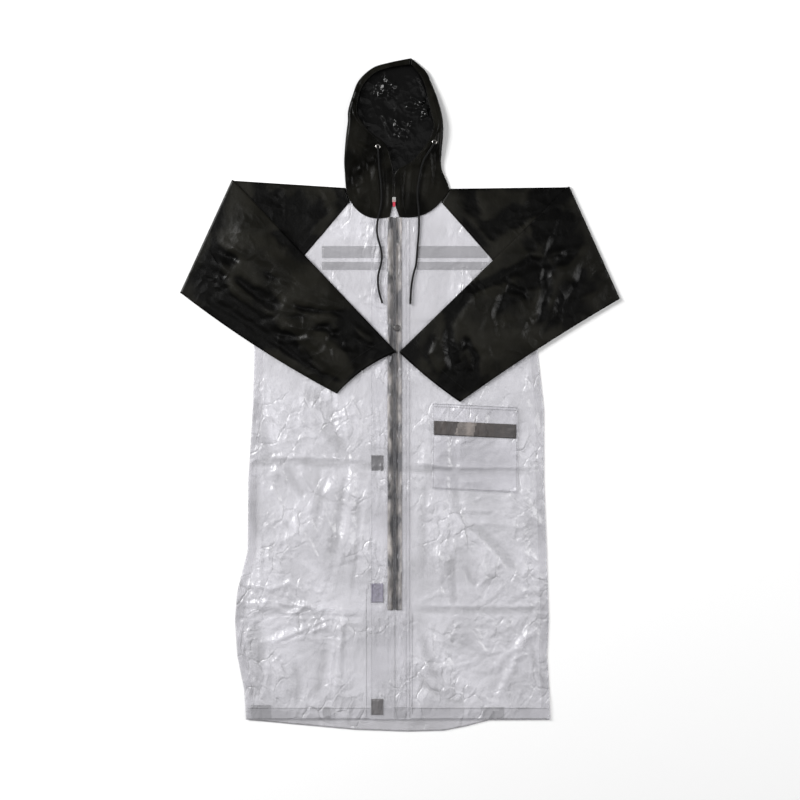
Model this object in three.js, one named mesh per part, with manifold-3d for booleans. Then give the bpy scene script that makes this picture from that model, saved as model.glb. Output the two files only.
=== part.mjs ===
// Long hooded raincoat, laid flat on its back with both sleeves folded over the chest.
// The body is clear film, and the raglan sleeves and the hood are black coated cloth.
// Millimetres, +Z up. +Y runs from hem to hood, and +X is the wearer's left.
import * as THREE from "three";
import { mergeVertices } from "three/addons/utils/BufferGeometryUtils.js";
import Module from "manifold-3d";

const wasm = await Module();
wasm.setup();

// Driving dimensions
const WALL = 1; // one layer of cloth
const GAP = 0.3; // clearance between layers, and at seams
const LAYER = WALL + GAP;
const HEM_Y = -736; // lower edge of the fronts
const BACK_HEM_Y = -764; // lowest point of the longer back
const NECK_Y = 404; // neck seam at the centre front
const BACK_NECK_Y = 450; // neck seam at the centre back
const CENTRE_X = -12; // centre front, where the zip runs
const HEM_DEPTH = 27; // turned-up hem
const SEAM_TUCK = 8; // how far the fronts reach under the hood
const THROAT_TAB = { width: 12, top: 440 }; // film of the fronts behind the gap between the hood's sides
const FRONT_PUFF = 2.2; // how far the fronts stand off the back
const MAX_PUFF = 2.8; // most air between two layers, folds included
const SLEEVE_REST = 5.95; // underside of the folded sleeves, over the fronts
const FLAP_LEFT = 23; // stitched edge of the storm flap
const FLAP_RIGHT = -66; // free edge of the storm flap
const ZIP_END_Y = -488; // foot of the zip
const TAPE_WIDTH = 13;
const CHAIN_WIDTH = 5.4;
const CHAIN_HEIGHT = 1.7;
const SLIDER_Y = 443;
const CORD_DIAMETER = 4.6;

// Side edges of the body, from hem to underarm
const BODY_ROWS = [
  { y: HEM_Y, right: -350, left: 341 },
  { y: -670, right: -354, left: 339 },
  { y: -590, right: -370, left: 334 },
  { y: -511, right: -375, left: 338 },
  { y: -447, right: -370, left: 336 },
  { y: -352, right: -346, left: 333 },
  { y: -193, right: -345, left: 327 },
  { y: -34, right: -335, left: 327 },
  { y: 93, right: -331, left: 313 },
];

// Lower edge of the back, which shows below the fronts
const BACK_HEM_ROWS = [
  { x: -348, y: -737 },
  { x: -245, y: -747 },
  { x: -100, y: -760 },
  { x: 15, y: BACK_HEM_Y },
  { x: 100, y: -762 },
  { x: 150, y: -752 },
  { x: 204, y: -738 },
  { x: 340, y: -737 },
];

// Each sleeve's corners: neck, raglan seam, fold line and cuff.
// The bows are how far the middle of an edge stands outside its chord.
const SLEEVES = {
  right: {
    sign: -1,
    neck: [-124, 470],
    seam: [
      [-113.5, 436],
      [-224, 308],
    ],
    underarm: [-336, 179],
    foldTop: [-381, 488],
    foldLow: [-499, 231.5],
    cuffTop: [-7.5, 97],
    cuffLow: [-143, 3],
    lowBow: 9,
    cuffBow: 10,
  },
  left: {
    sign: 1,
    neck: [113, 468],
    seam: [
      [94, 437],
      [204, 313],
    ],
    underarm: [318, 166],
    foldTop: [384, 473],
    foldLow: [499, 218],
    cuffTop: [-2, 97],
    cuffLow: [136, -16],
    lowBow: -5,
    cuffBow: -4,
  },
};

// Hood sides, from the neck up to the peak: outer edge, rim of the face opening, rise off the floor,
// and how far the section bows towards the hem in plan.
const HOOD_ROWS = {
  right: [
    { edge: [-114.5, 447], rim: [-23, NECK_Y], rise: 3.7, bow: 21 },
    { edge: [-122, 474], rim: [-14.5, 446], rise: 4.6, bow: 12 },
    { edge: [-127, 520], rim: [-15, 502], rise: 8, bow: 5 },
    { edge: [-126, 552], rim: [-24, 545], rise: 13, bow: 0 },
    { edge: [-123, 588], rim: [-38, 572], rise: 17, bow: 0 },
    { edge: [-119, 620], rim: [-71, 598], rise: 18, bow: 0 },
    { edge: [-118, 645], rim: [-95, 634], rise: 17, bow: 0 },
    { edge: [-108, 679], rim: [-94, 672], rise: 15, bow: 0 },
    { edge: [-94, 713], rim: [-82, 704], rise: 13, bow: 0 },
    { edge: [-62, 742], rim: [-56, 730], rise: 11, bow: 0 },
    { edge: [-25, 754], rim: [-23, 742], rise: 10, bow: 0 },
    { edge: [24.7, 764], rim: [21.7, 749], rise: 10, bow: 0 },
  ],
  left: [
    { edge: [97, 447], rim: [-2, NECK_Y], rise: 3.7, bow: -17 },
    { edge: [104, 474], rim: [-13.5, 446], rise: 4.6, bow: -10 },
    { edge: [94, 520], rim: [-12, 502], rise: 8, bow: -4 },
    { edge: [95, 552], rim: [30, 531], rise: 13, bow: 0 },
    { edge: [98, 588], rim: [62, 572], rise: 17, bow: 0 },
    { edge: [98, 618], rim: [76, 604], rise: 18, bow: 0 },
    { edge: [92, 650], rim: [70, 640], rise: 17, bow: 0 },
    { edge: [83, 679], rim: [63, 672], rise: 15, bow: 0 },
    { edge: [72, 706], rim: [57, 698], rise: 13, bow: 0 },
    { edge: [58, 735], rim: [46, 724], rise: 11, bow: 0 },
    { edge: [25.3, 764], rim: [25.3, 749], rise: 10, bow: 0 },
  ],
};

// Packing folds and the longest creases of the fronts: a positive rise is a ridge, a negative one a trough
const FRONT_FOLDS = [
  { from: [-345, -154], to: [330, -176], rise: -2, spread: 12 },
  { from: [-370, -484], to: [336, -489], rise: 2, spread: 13 },
  { from: [-225, 11], to: [-125, -123], rise: -2, spread: 20 },
  { from: [-308, -190], to: [-184, -375], rise: 1.6, spread: 20 },
  { from: [-100, -163], to: [-125, -371], rise: 1.8, spread: 18 },
  { from: [-306, -567], to: [-146, -512], rise: 1.8, spread: 18 },
  { from: [-138, -500], to: [-157, -730], rise: 2, spread: 18 },
  { from: [115, -300], to: [116, -480], rise: 1.8, spread: 18 },
  { from: [140, -284], to: [238, -362], rise: -1.8, spread: 20 },
  { from: [204, -627], to: [319, -520], rise: 2, spread: 20 },
  { from: [272, -4], to: [322, -93], rise: 1.6, spread: 18 },
  { from: [267, -226], to: [325, -304], rise: 1.6, spread: 18 },
];

// Largest folds of the sleeves, on the part next to the shoulder and on the folded part
const SLEEVE_FOLDS = [
  { from: [-272, 474], to: [-300, 413], rise: -1.6, spread: 16 },
  { from: [-137, 431], to: [-232, 326], rise: 1.6, spread: 16 },
  { from: [-442, 330], to: [-366, 300], rise: -1.8, spread: 20 },
  { from: [-366, 300], to: [-268, 199], rise: -1.8, spread: 20 },
  { from: [-304, 137], to: [-159, 159], rise: -1.6, spread: 18 },
  { from: [-446, 213], to: [-184, 32], rise: -1.6, spread: 14 },
  { from: [325, 311], to: [220, 257], rise: 1.6, spread: 16 },
  { from: [325, 303], to: [318, 163], rise: -1.8, spread: 18 },
  { from: [327, 314], to: [412, 348], rise: 1.4, spread: 16 },
  { from: [109, 182], to: [117, 42], rise: -1.8, spread: 16 },
  { from: [166, 144], to: [166, 39], rise: -1.6, spread: 16 },
];

// Free ends of the drawstring, from the eyelet to the tip
const CORDS = {
  right: [
    [-50, 562],
    [-49, 548],
    [-48, 532],
    [-47, 515],
    [-45, 498],
    [-43, 478],
    [-42, 458],
    [-42, 438],
    [-45, 420],
    [-49, 404],
    [-52, 385],
    [-52, 366],
    [-48, 348],
    [-43, 330],
    [-41, 312],
    [-44, 293],
    [-49, 274],
    [-50, 254],
    [-47, 232],
    [-40, 208],
  ],
  left: [
    [78, 572],
    [72, 560],
    [62, 545],
    [53, 529],
    [47, 508],
    [43, 486],
    [40, 464],
    [40, 444],
    [42, 424],
    [43, 406],
    [43, 384],
    [42, 362],
    [40, 338],
    [38, 314],
    [36, 294],
    [31, 276],
    [27, 256],
    [25, 238],
    [24, 222],
    [23, 206],
  ],
};

const MATERIALS = {
  film: new THREE.MeshStandardMaterial({
    color: 0xc9c7cf,
    roughness: 0.32,
    metalness: 0,
    transparent: true,
    opacity: 0.75,
  }),
  black_cloth: new THREE.MeshStandardMaterial({
    color: 0x14140f,
    roughness: 0.45,
    metalness: 0,
  }),
  grey_tape: new THREE.MeshStandardMaterial({
    color: 0x77706c,
    roughness: 0.85,
    metalness: 0,
  }),
  zip_tape: new THREE.MeshStandardMaterial({
    color: 0x2c2926,
    roughness: 0.8,
    metalness: 0,
  }),
  steel: new THREE.MeshStandardMaterial({
    color: 0xd8d8d6,
    roughness: 0.25,
    metalness: 0.9,
  }),
  red_pull: new THREE.MeshStandardMaterial({
    color: 0xb3202c,
    roughness: 0.4,
    metalness: 0,
  }),
};

// Small helpers

const clamp = (value, low, high) => Math.min(high, Math.max(low, value));
const mix = (a, b, t) => a + (b - a) * t;
const mixPoint = (a, b, t) => a.map((value, axis) => mix(value, b[axis], t));
const ease = (t) => clamp(t, 0, 1) ** 2 * (3 - 2 * clamp(t, 0, 1));

// Evenly spaced numbers from low to high, with the extra ones put in between
function stops(low, high, step, extra = []) {
  const count = Math.max(1, Math.round((high - low) / step));
  const even = Array.from({ length: count + 1 }, (_, i) => mix(low, high, i / count));
  const inside = extra.filter((value) => value > low && value < high);
  const near = step / 3;
  const kept = even.filter(
    (value, i) => i === 0 || i === count || inside.every((x) => Math.abs(x - value) > near),
  );
  return [...kept, ...inside].sort((a, b) => a - b);
}

// A straight edge from a to b whose middle stands off by bow, to the right of the way from a to b
function edge(a, b, bow = 0) {
  const [dx, dy] = [b[0] - a[0], b[1] - a[1]];
  const length = Math.hypot(dx, dy);
  return (t) => {
    const off = 4 * bow * t * (1 - t);
    return [mix(a[0], b[0], t) + (off * dy) / length, mix(a[1], b[1], t) - (off * dx) / length];
  };
}

// An edge through several points, at its share of the whole length
function bentEdge(points) {
  const path = new THREE.Path(points.map(([x, y]) => new THREE.Vector2(x, y)));
  return (t) => path.getPointAt(t).toArray();
}

// Where the corners of a bent edge are, as shares of its length
function cornerShares(points) {
  const sides = points.slice(1).map(([x, y], i) => Math.hypot(x - points[i][0], y - points[i][1]));
  const total = sides.reduce((sum, side) => sum + side, 0);
  const upTo = (i) => sides.slice(0, i + 1).reduce((sum, side) => sum + side, 0);
  return sides.slice(0, -1).map((_, i) => upTo(i) / total);
}

// A smooth patch between four edges: across at u = 0 and 1, along at v = 0 and 1
function patch(start, end, top, low) {
  const corners = [start(0), start(1), end(0), end(1)];
  return (u, v) =>
    [0, 1].map(
      (axis) =>
        mix(start(v)[axis], end(v)[axis], u) +
        mix(top(u)[axis], low(u)[axis], v) -
        mix(
          mix(corners[0][axis], corners[1][axis], v),
          mix(corners[2][axis], corners[3][axis], v),
          u,
        ),
    );
}

// Height that a table of folds adds at a point
function foldHeight(folds, x, y) {
  return folds.reduce((sum, { from, to, rise, spread }) => {
    const [dx, dy] = [to[0] - from[0], to[1] - from[1]];
    const t = clamp(((x - from[0]) * dx + (y - from[1]) * dy) / (dx * dx + dy * dy), 0, 1);
    const away = Math.hypot(x - from[0] - t * dx, y - from[1] - t * dy);
    return sum + rise * Math.exp(-((away / spread) ** 2));
  }, 0);
}

// Solids

// A closed mesh between two grids of points of the same size
function closedGrid(top, bottom) {
  const [rows, columns] = [top.length, top[0].length];
  const positions = [...top.flat(), ...bottom.flat()].flat();
  const index = [];
  const quad = (a, b, c, d) => index.push(a, b, c, a, c, d);
  const at = (i, j, layer) => layer * rows * columns + i * columns + j;
  for (let i = 0; i + 1 < rows; i++) {
    for (let j = 0; j + 1 < columns; j++) {
      quad(at(i, j, 0), at(i, j + 1, 0), at(i + 1, j + 1, 0), at(i + 1, j, 0));
      quad(at(i, j, 1), at(i + 1, j, 1), at(i + 1, j + 1, 1), at(i, j + 1, 1));
    }
  }
  for (let i = 0; i + 1 < rows; i++) {
    quad(at(i, 0, 0), at(i + 1, 0, 0), at(i + 1, 0, 1), at(i, 0, 1));
    const last = columns - 1;
    quad(at(i, last, 0), at(i, last, 1), at(i + 1, last, 1), at(i + 1, last, 0));
  }
  for (let j = 0; j + 1 < columns; j++) {
    quad(at(0, j, 0), at(0, j, 1), at(0, j + 1, 1), at(0, j + 1, 0));
    quad(at(rows - 1, j, 0), at(rows - 1, j + 1, 0), at(rows - 1, j + 1, 1), at(rows - 1, j, 1));
  }
  const geometry = new THREE.BufferGeometry();
  geometry.setAttribute("position", new THREE.Float32BufferAttribute(positions, 3));
  geometry.setIndex(signedVolume(positions, index) < 0 ? index.reverse() : index);
  return geometry;
}

function signedVolume(positions, index) {
  const corner = (k) => new THREE.Vector3().fromArray(positions, 3 * index[k]);
  let sum = 0;
  for (let k = 0; k < index.length; k += 3) {
    sum += corner(k).dot(corner(k + 1).cross(corner(k + 2))) / 6;
  }
  return sum;
}

// A wall of cloth on both sides of a grid of middle points
function shell(middle, thick = WALL) {
  const [rows, columns] = [middle.length, middle[0].length];
  const point = (i, j) =>
    new THREE.Vector3(...middle[clamp(i, 0, rows - 1)][clamp(j, 0, columns - 1)]);
  const side = (sign) =>
    middle.map((row, i) =>
      row.map((_, j) => {
        const along = point(i + 1, j).sub(point(i - 1, j));
        const across = point(i, j + 1).sub(point(i, j - 1));
        const normal = across.cross(along).normalize();
        return point(i, j).addScaledVector(normal, (sign * thick) / 2).toArray();
      }),
    );
  return closedGrid(side(1), side(-1));
}

function solidOf(geometry) {
  const bare = geometry.index ? geometry.toNonIndexed() : geometry.clone();
  for (const name of Object.keys(bare.attributes)) {
    if (name !== "position") bare.deleteAttribute(name);
  }
  const merged = mergeVertices(bare, 1e-4);
  return new wasm.Manifold(
    new wasm.Mesh({
      numProp: 3,
      vertProperties: merged.attributes.position.array,
      triVerts: new Uint32Array(merged.index.array),
    }),
  );
}

function geometryOf(solid) {
  const { numProp, vertProperties, triVerts } = solid.getMesh();
  const positions = Array.from(vertProperties).filter((_, i) => i % numProp < 3);
  const geometry = new THREE.BufferGeometry();
  geometry.setAttribute("position", new THREE.Float32BufferAttribute(positions, 3));
  geometry.setIndex(Array.from(triVerts));
  return geometry;
}

function shapeOf(points) {
  return new THREE.Shape(points.map(([x, y]) => new THREE.Vector2(x, y)));
}

function rectangle(low, high) {
  return [low, [high[0], low[1]], high, [low[0], high[1]]];
}

// A flat piece of cloth with its underside at the given height
function flatPiece(outline, bottom, thick = WALL) {
  const geometry = new THREE.ExtrudeGeometry(shapeOf(outline), {
    depth: thick,
    bevelEnabled: false,
  });
  return geometry.translate(0, 0, bottom);
}

// Lines of the lattice that every piece on the fronts shares, so that one lies evenly on the other
const FOLD_ROWS = [-489, -471, -176, -158];
const LATTICE = {
  x: stops(-380, 346, 29, [FLAP_RIGHT - 1, FLAP_LEFT + 1]),
  y: stops(HEM_Y - 2, 448, 29, [HEM_Y + HEM_DEPTH + 3, ...FOLD_ROWS]),
};

// A function of x and y made flat between the lines of the lattice, as the solids' faces are
function onLattice(height) {
  const table = LATTICE.y.map((y) => LATTICE.x.map((x) => height(x, y)));
  const cell = (lines, value) => {
    const next = lines.findIndex((line) => line > value);
    const low = clamp((next < 0 ? lines.length : next) - 1, 0, lines.length - 2);
    return [low, clamp((value - lines[low]) / (lines[low + 1] - lines[low]), 0, 1)];
  };
  return (x, y) => {
    const [[j, s], [i, t]] = [cell(LATTICE.x, x), cell(LATTICE.y, y)];
    const [a, b, c, d] = [table[i][j], table[i][j + 1], table[i + 1][j + 1], table[i + 1][j]];
    return s > t ? a + s * (b - a) + t * (c - b) : a + t * (d - a) + s * (c - d);
  };
}

// A piece of cloth cut to an outline, whose underside follows lift(x, y)
function laidPiece(outline, lift, { thick = WALL, rows = [], columns = [] } = {}) {
  const margin = 1;
  const lines = (axis, shared, extra) => {
    const ends = outline.map((point) => point[axis]);
    const [low, high] = [Math.min(...ends) - margin, Math.max(...ends) + margin];
    const inside = [...shared, ...extra].filter((line) => line > low + 0.5 && line < high - 0.5);
    return [low, ...inside.sort((a, b) => a - b), high].filter(
      (line, i, all) => i === 0 || line - all[i - 1] > 0.1,
    );
  };
  const across = lines(0, LATTICE.x, columns);
  const along = lines(1, LATTICE.y, rows);
  const surface = (extra) => along.map((y) => across.map((x) => [x, y, lift(x, y) + extra]));
  const slab = solidOf(closedGrid(surface(thick), surface(0)));
  const cutter = solidOf(flatPiece(outline, -margin, 100));
  return geometryOf(slab.intersect(cutter));
}

// Body

function middleOf(rows, key) {
  return new THREE.CatmullRomCurve3(rows.map((row) => new THREE.Vector3(row[key], row.y, 0)));
}

// Points up one side of the body, from the hem to the underarm
function sideEdge(key, spacing = 24) {
  const rows = [...BODY_ROWS, { y: SLEEVES[key].underarm[1] - GAP, [key]: SLEEVES[key].underarm[0] }];
  return middleOf(rows, key)
    .getPoints(spacing)
    .map(({ x, y }) => [x, y]);
}

// Points up the raglan seam, just inside the sleeve
function raglanEdge(key) {
  const { underarm, seam, sign } = SLEEVES[key];
  return [underarm, seam[1], seam[0]].map(([x, y]) => [x - sign * GAP, y - GAP]);
}

// The neck seam of one front, from the raglan seam to the centre
function neckEdge(key, tuck = 0, points = 8) {
  const [first] = HOOD_ROWS[key];
  const seam = edge(first.edge, first.rim, first.bow);
  return Array.from({ length: points }, (_, i) => {
    const t = (i + 1) / points;
    const [x, y] = seam(t);
    return [x, y - GAP + (tuck + GAP) * ease((t - 0.15) * 3)];
  });
}

// The neck seam between two sides, from right to left, for pieces that end just below it
function neckLine(low, high) {
  const seam = [...neckEdge("right", -GAP, 16), ...neckEdge("left", -GAP, 16).reverse()];
  const heightAt = (x) => {
    const next = clamp(seam.findIndex((point) => point[0] > x), 1, seam.length - 1);
    const [[ax, ay], [bx, by]] = [seam[next - 1], seam[next]];
    return mix(ay, by, (x - ax) / (bx - ax));
  };
  const between = seam.filter(([x]) => x > low + 1 && x < high - 1);
  return [[low, heightAt(low)], ...between, [high, heightAt(high)]];
}

// An upright strip on the fronts, from a straight foot up to the neck seam
function stripToNeck(low, high, foot) {
  return [[low, foot], [high, foot], ...neckLine(low, high).reverse()];
}

// Distance from the nearer side edge of the body
function fromSide(x, y) {
  const row = (key) => {
    const above = BODY_ROWS.findIndex((candidate) => candidate.y > y);
    if (above < 0) return BODY_ROWS.at(-1)[key];
    const [low, high] = [BODY_ROWS[Math.max(above - 1, 0)], BODY_ROWS[above]];
    return mix(low[key], high[key], clamp((y - low.y) / Math.max(high.y - low.y, 1), 0, 1));
  };
  return Math.min(x - row("right"), row("left") - x);
}

// Underside of the fronts: resting on the back at the sides, on both turned hems at the foot,
// and nearly flat along the zip
const frontLift = onLattice((x, y) => {
  const side = fromSide(x, y);
  const puff = FRONT_PUFF * ease(side / 70) + foldHeight(FRONT_FOLDS, x, y) * ease(side / 30);
  const fromFlap = Math.abs(x - (FLAP_LEFT + FLAP_RIGHT) / 2) - (FLAP_LEFT - FLAP_RIGHT) / 2;
  const neck = mix(1, 0, ease((y - 250) / 110));
  const open = LAYER + clamp(puff * ease(fromFlap / 55) * neck, 0, MAX_PUFF);
  const hem = ease((y - (HEM_Y + HEM_DEPTH + 3)) / 45);
  return mix(3 * LAYER, open, hem);
});

const onFronts = (x, y) => frontLift(x, y) + LAYER;

function frontPanel(key) {
  const { sign } = SLEEVES[key];
  const centre = CENTRE_X + sign * (GAP / 2);
  const outline = [
    [centre, HEM_Y],
    ...sideEdge(key),
    ...raglanEdge(key),
    ...neckEdge(key, SEAM_TUCK).slice(0, -1),
    [centre + sign * THROAT_TAB.width, NECK_Y + SEAM_TUCK],
    [centre + (sign * THROAT_TAB.width) / 2, THROAT_TAB.top],
    [centre, THROAT_TAB.top],
  ];
  return laidPiece(outline, frontLift);
}

function backPanel() {
  const up = (key) => [...sideEdge(key).slice(1), ...raglanEdge(key)];
  const neck = (key) => {
    const { neck: top, seam, sign } = SLEEVES[key];
    const t = (BACK_NECK_Y - seam[0][1]) / (top[1] - seam[0][1]);
    return [mix(seam[0][0], top[0], t) - sign * GAP, BACK_NECK_Y];
  };
  return flatPiece(
    [
      ...BACK_HEM_ROWS.map(({ x, y }) => [x, y]),
      ...up("left"),
      neck("left"),
      neck("right"),
      ...up("right").reverse(),
    ],
    0,
  );
}

// Turned hems

function frontHem(key) {
  const { sign } = SLEEVES[key];
  const [low, high] = BODY_ROWS;
  const slope = (high[key] - low[key]) / (high.y - low.y);
  const inset = 3;
  const outline = [
    [CENTRE_X + sign * GAP, HEM_Y + GAP],
    [low[key] - sign * inset, HEM_Y + GAP],
    [low[key] + slope * HEM_DEPTH - sign * inset, HEM_Y + HEM_DEPTH],
    [CENTRE_X + sign * GAP, HEM_Y + HEM_DEPTH],
  ];
  return flatPiece(outline, 2 * LAYER);
}

function backHem() {
  const inset = 4;
  const low = BACK_HEM_ROWS.map(({ x, y }) => [x * (1 - inset / 345), y + GAP]);
  const high = low.map(([x, y]) => [x, y + HEM_DEPTH]).reverse();
  return flatPiece([...low, ...high], LAYER);
}

// Closure

function zipTape(sign) {
  const inner = CENTRE_X + sign * (CHAIN_WIDTH / 2 + GAP);
  const outer = inner + sign * TAPE_WIDTH;
  const [low, high] = [Math.min(inner, outer), Math.max(inner, outer)];
  return laidPiece(stripToNeck(low, high, ZIP_END_Y), onFronts);
}

function zipChain() {
  const half = CHAIN_WIDTH / 2;
  const outline = stripToNeck(CENTRE_X - half, CENTRE_X + half, ZIP_END_Y);
  return laidPiece(outline, onFronts, { thick: CHAIN_HEIGHT });
}

// Underside of the storm flap: over the closing patches, over the zip, and down to its stitched edge
const FLAP_PROFILE = [
  [FLAP_RIGHT, LAYER],
  [-37, LAYER],
  [-29, CHAIN_HEIGHT + GAP],
  [5, CHAIN_HEIGHT + GAP],
  [14, 0],
  [FLAP_LEFT, 0],
];

function flapLift(x, y) {
  const next = clamp(FLAP_PROFILE.findIndex(([at]) => at > x), 1, FLAP_PROFILE.length - 1);
  const [[ax, az], [bx, bz]] = [FLAP_PROFILE[next - 1], FLAP_PROFILE[next]];
  const share = x >= FLAP_LEFT ? 1 : clamp((x - ax) / (bx - ax), 0, 1);
  return onFronts(x, y) + mix(az, bz, share);
}

function stormFlap() {
  const outline = stripToNeck(FLAP_RIGHT, FLAP_LEFT, HEM_Y + GAP);
  return laidPiece(outline, flapLift, { columns: FLAP_PROFILE.slice(1, -1).map(([x]) => x) });
}

const PATCHES = [
  { name: "patch_waist", y: -154, height: 34 },
  { name: "patch_knee", y: -449, height: 43 },
  { name: "patch_hem", y: -707, height: 36 },
];

function closingPatch({ y, height }) {
  const [low, high] = [FLAP_RIGHT + 1, FLAP_RIGHT + 28];
  return laidPiece(rectangle([low, y - height / 2], [high, y + height / 2]), onFronts);
}

// Pressed snap on the chest: a low dome on the storm flap
function snap() {
  const [x, y, radius, height] = [-7, 152, 7.5, 2.2];
  const profile = [
    [0, 0],
    [radius, 0],
    [radius, height * 0.45],
    [radius * 0.72, height],
    [0, height],
  ].map(([r, z]) => new THREE.Vector2(r, z));
  const base = flapLift(x, y) + LAYER + GAP;
  return new THREE.LatheGeometry(profile, 20).rotateX(Math.PI / 2).translate(x, y, base);
}

// Pocket

const POCKET = { right: 73, left: 267, top: -19, bottom: -222, lean: -9, flapDepth: 72 };
const POCKET_TAPE = { top: -58, bottom: -90 };

const pocketLine = (y, x) => y + (POCKET.lean * (x - POCKET.right)) / (POCKET.left - POCKET.right);

function pocketOutline(top, bottom, inset = 0) {
  const [low, high] = [POCKET.right + inset, POCKET.left - inset];
  return [
    [low, pocketLine(bottom, low)],
    [high, pocketLine(bottom, high)],
    [high, pocketLine(top, high)],
    [low, pocketLine(top, low)],
  ];
}

function pocketBag() {
  return laidPiece(pocketOutline(POCKET.top, POCKET.bottom + 9, 0), onFronts);
}

function pocketTape() {
  const lift = (x, y) => onFronts(x, y) + LAYER;
  return laidPiece(pocketOutline(POCKET_TAPE.top, POCKET_TAPE.bottom, 4), lift);
}

function pocketFlap() {
  const bend = [2, 14].map((off) => pocketLine(POCKET_TAPE.top, POCKET.right) + off);
  const lift = (x, y) => onFronts(x, y) + LAYER + LAYER * clamp((bend[1] - y) / (bend[1] - bend[0]), 0, 1);
  const outline = pocketOutline(POCKET.top + 2, POCKET.top - POCKET.flapDepth, -1);
  return laidPiece(outline, lift, { rows: bend });
}

// Sleeves: two flat layers that turn over the fold line, so that the back layer ends on top

const FOLD_BACK = { low: WALL / 2, high: SLEEVE_REST + WALL / 2 + LAYER };
const FOLD_FRONT = { low: WALL / 2 + LAYER, high: SLEEVE_REST + WALL / 2 };
const TURN_STEPS = 5;

function sleeveSheet(key, isBack) {
  const { sign, neck, seam, underarm, foldTop, foldLow, cuffTop, cuffLow, lowBow, cuffBow } = SLEEVES[key];
  const { low, high } = isBack ? FOLD_BACK : FOLD_FRONT;
  const radius = (high - low) / 2;
  const reach = (FOLD_BACK.high - FOLD_BACK.low + WALL) / 2;
  const [dx, dy] = [foldTop[0] - foldLow[0], foldTop[1] - foldLow[1]];
  const length = Math.hypot(dx, dy);
  const out = [(sign * dy) / length, (-sign * dx) / length];
  const inward = ([x, y]) => [x - out[0] * reach, y - out[1] * reach];
  const [lineTop, lineLow] = [inward(foldTop), inward(foldLow)];
  const foldLine = edge(lineTop, lineLow);
  const raglan = [neck, ...seam, underarm];
  const upper = patch(bentEdge(raglan), foldLine, edge(neck, lineTop), edge(underarm, lineLow));
  const lower = patch(
    foldLine,
    edge(cuffTop, cuffLow, -sign * cuffBow),
    edge(lineTop, cuffTop),
    edge(lineLow, cuffLow, -sign * lowBow),
  );
  const air = (x, y, u, v) => {
    const full = FRONT_PUFF * Math.sin(Math.PI * v) ** 0.7 * ease(u * 4) * ease((1 - u) * 5);
    return clamp(full + foldHeight(SLEEVE_FOLDS, x, y) * Math.sin(Math.PI * v), 0, MAX_PUFF);
  };
  const across = stops(0, 1, 1 / 9, cornerShares(raglan));
  const grid = [];
  for (const u of stops(0, 1, 1 / 6)) {
    grid.push(
      across.map((v) => {
        const [x, y] = upper(u, v);
        return [x, y, low + (isBack ? 0 : air(x, y, u, v))];
      }),
    );
  }
  for (let k = 1; k < TURN_STEPS; k++) {
    const angle = (Math.PI * k) / TURN_STEPS;
    const [side, rise] = [radius * Math.sin(angle), radius * (1 - Math.cos(angle))];
    grid.push(
      across.map((v) => {
        const [x, y] = foldLine(v);
        return [x + out[0] * side, y + out[1] * side, low + rise];
      }),
    );
  }
  for (const u of stops(0, 1, 1 / 14)) {
    grid.push(
      across.map((v) => {
        const [x, y] = lower(u, v);
        return [x, y, high + (isBack ? air(x, y, u, mix(0.02, 0.98, v)) : 0)];
      }),
    );
  }
  return shell(grid);
}

// Hood: a flat back, and two sides that turn over from its edge towards the face

const THROAT_TOP = 515; // the two sides meet below this height
const BULGE_STEPS = 5;
const FLANK_STEPS = 5;

// Rows of a table, smoothed and filled in between
function smoothRows(rows, count) {
  const columns = ({ edge: [ex, ey], rim: [rx, ry], rise, bow }) => [ex, ey, rx, ry, rise, bow];
  const values = rows.map(columns);
  const last = values.length - 1;
  const blend = (k, t, column) => {
    const [a, b, c, d] = [k - 1, k, k + 1, k + 2].map((i) => values[clamp(i, 0, last)][column]);
    const [slopeB, slopeC] = [(c - a) / 2, (d - b) / 2];
    const [t2, t3] = [t * t, t * t * t];
    const [startShare, endShare] = [2 * t3 - 3 * t2 + 1, 3 * t2 - 2 * t3];
    return startShare * b + (t3 - 2 * t2 + t) * slopeB + endShare * c + (t3 - t2) * slopeC;
  };
  return Array.from({ length: count }, (_, i) => {
    const at = (i / (count - 1)) * last;
    const k = Math.min(Math.floor(at), last - 1);
    const [ex, ey, rx, ry, rise, bow] = values[0].map((_, column) => blend(k, at - k, column));
    return { edge: [ex, ey], rim: [rx, ry], rise, bow };
  });
}

function hoodSide(key) {
  const foot = WALL / 2 + LAYER;
  const apart = (x) => (key === "right" ? Math.min(x, CENTRE_X - 2.4) : Math.max(x, CENTRE_X - 1.6));
  const grid = smoothRows(HOOD_ROWS[key], 26).map(({ edge: outer, rim: [rimX, rimY], rise, bow }) => {
    const rim = rimY < THROAT_TOP ? [apart(rimX), rimY] : [rimX, rimY];
    const line = edge(outer, rim, bow);
    const length = Math.hypot(rim[0] - outer[0], rim[1] - outer[1]);
    const radius = (rise - foot) / 2;
    const share = (distance) => clamp((distance + WALL / 2) / length, 0, 1);
    const bulge = Array.from({ length: BULGE_STEPS + 1 }, (_, k) => {
      const angle = (Math.PI * k) / BULGE_STEPS;
      return [...line(share(radius * (1 - Math.sin(angle)))), foot + radius * (1 - Math.cos(angle))];
    });
    const start = share(radius);
    const flank = Array.from({ length: FLANK_STEPS }, (_, k) => [
      ...line(mix(start, 1, (k + 1) / FLANK_STEPS)),
      rise,
    ]);
    return [...bulge, ...flank];
  });
  return shell(grid);
}

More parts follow.
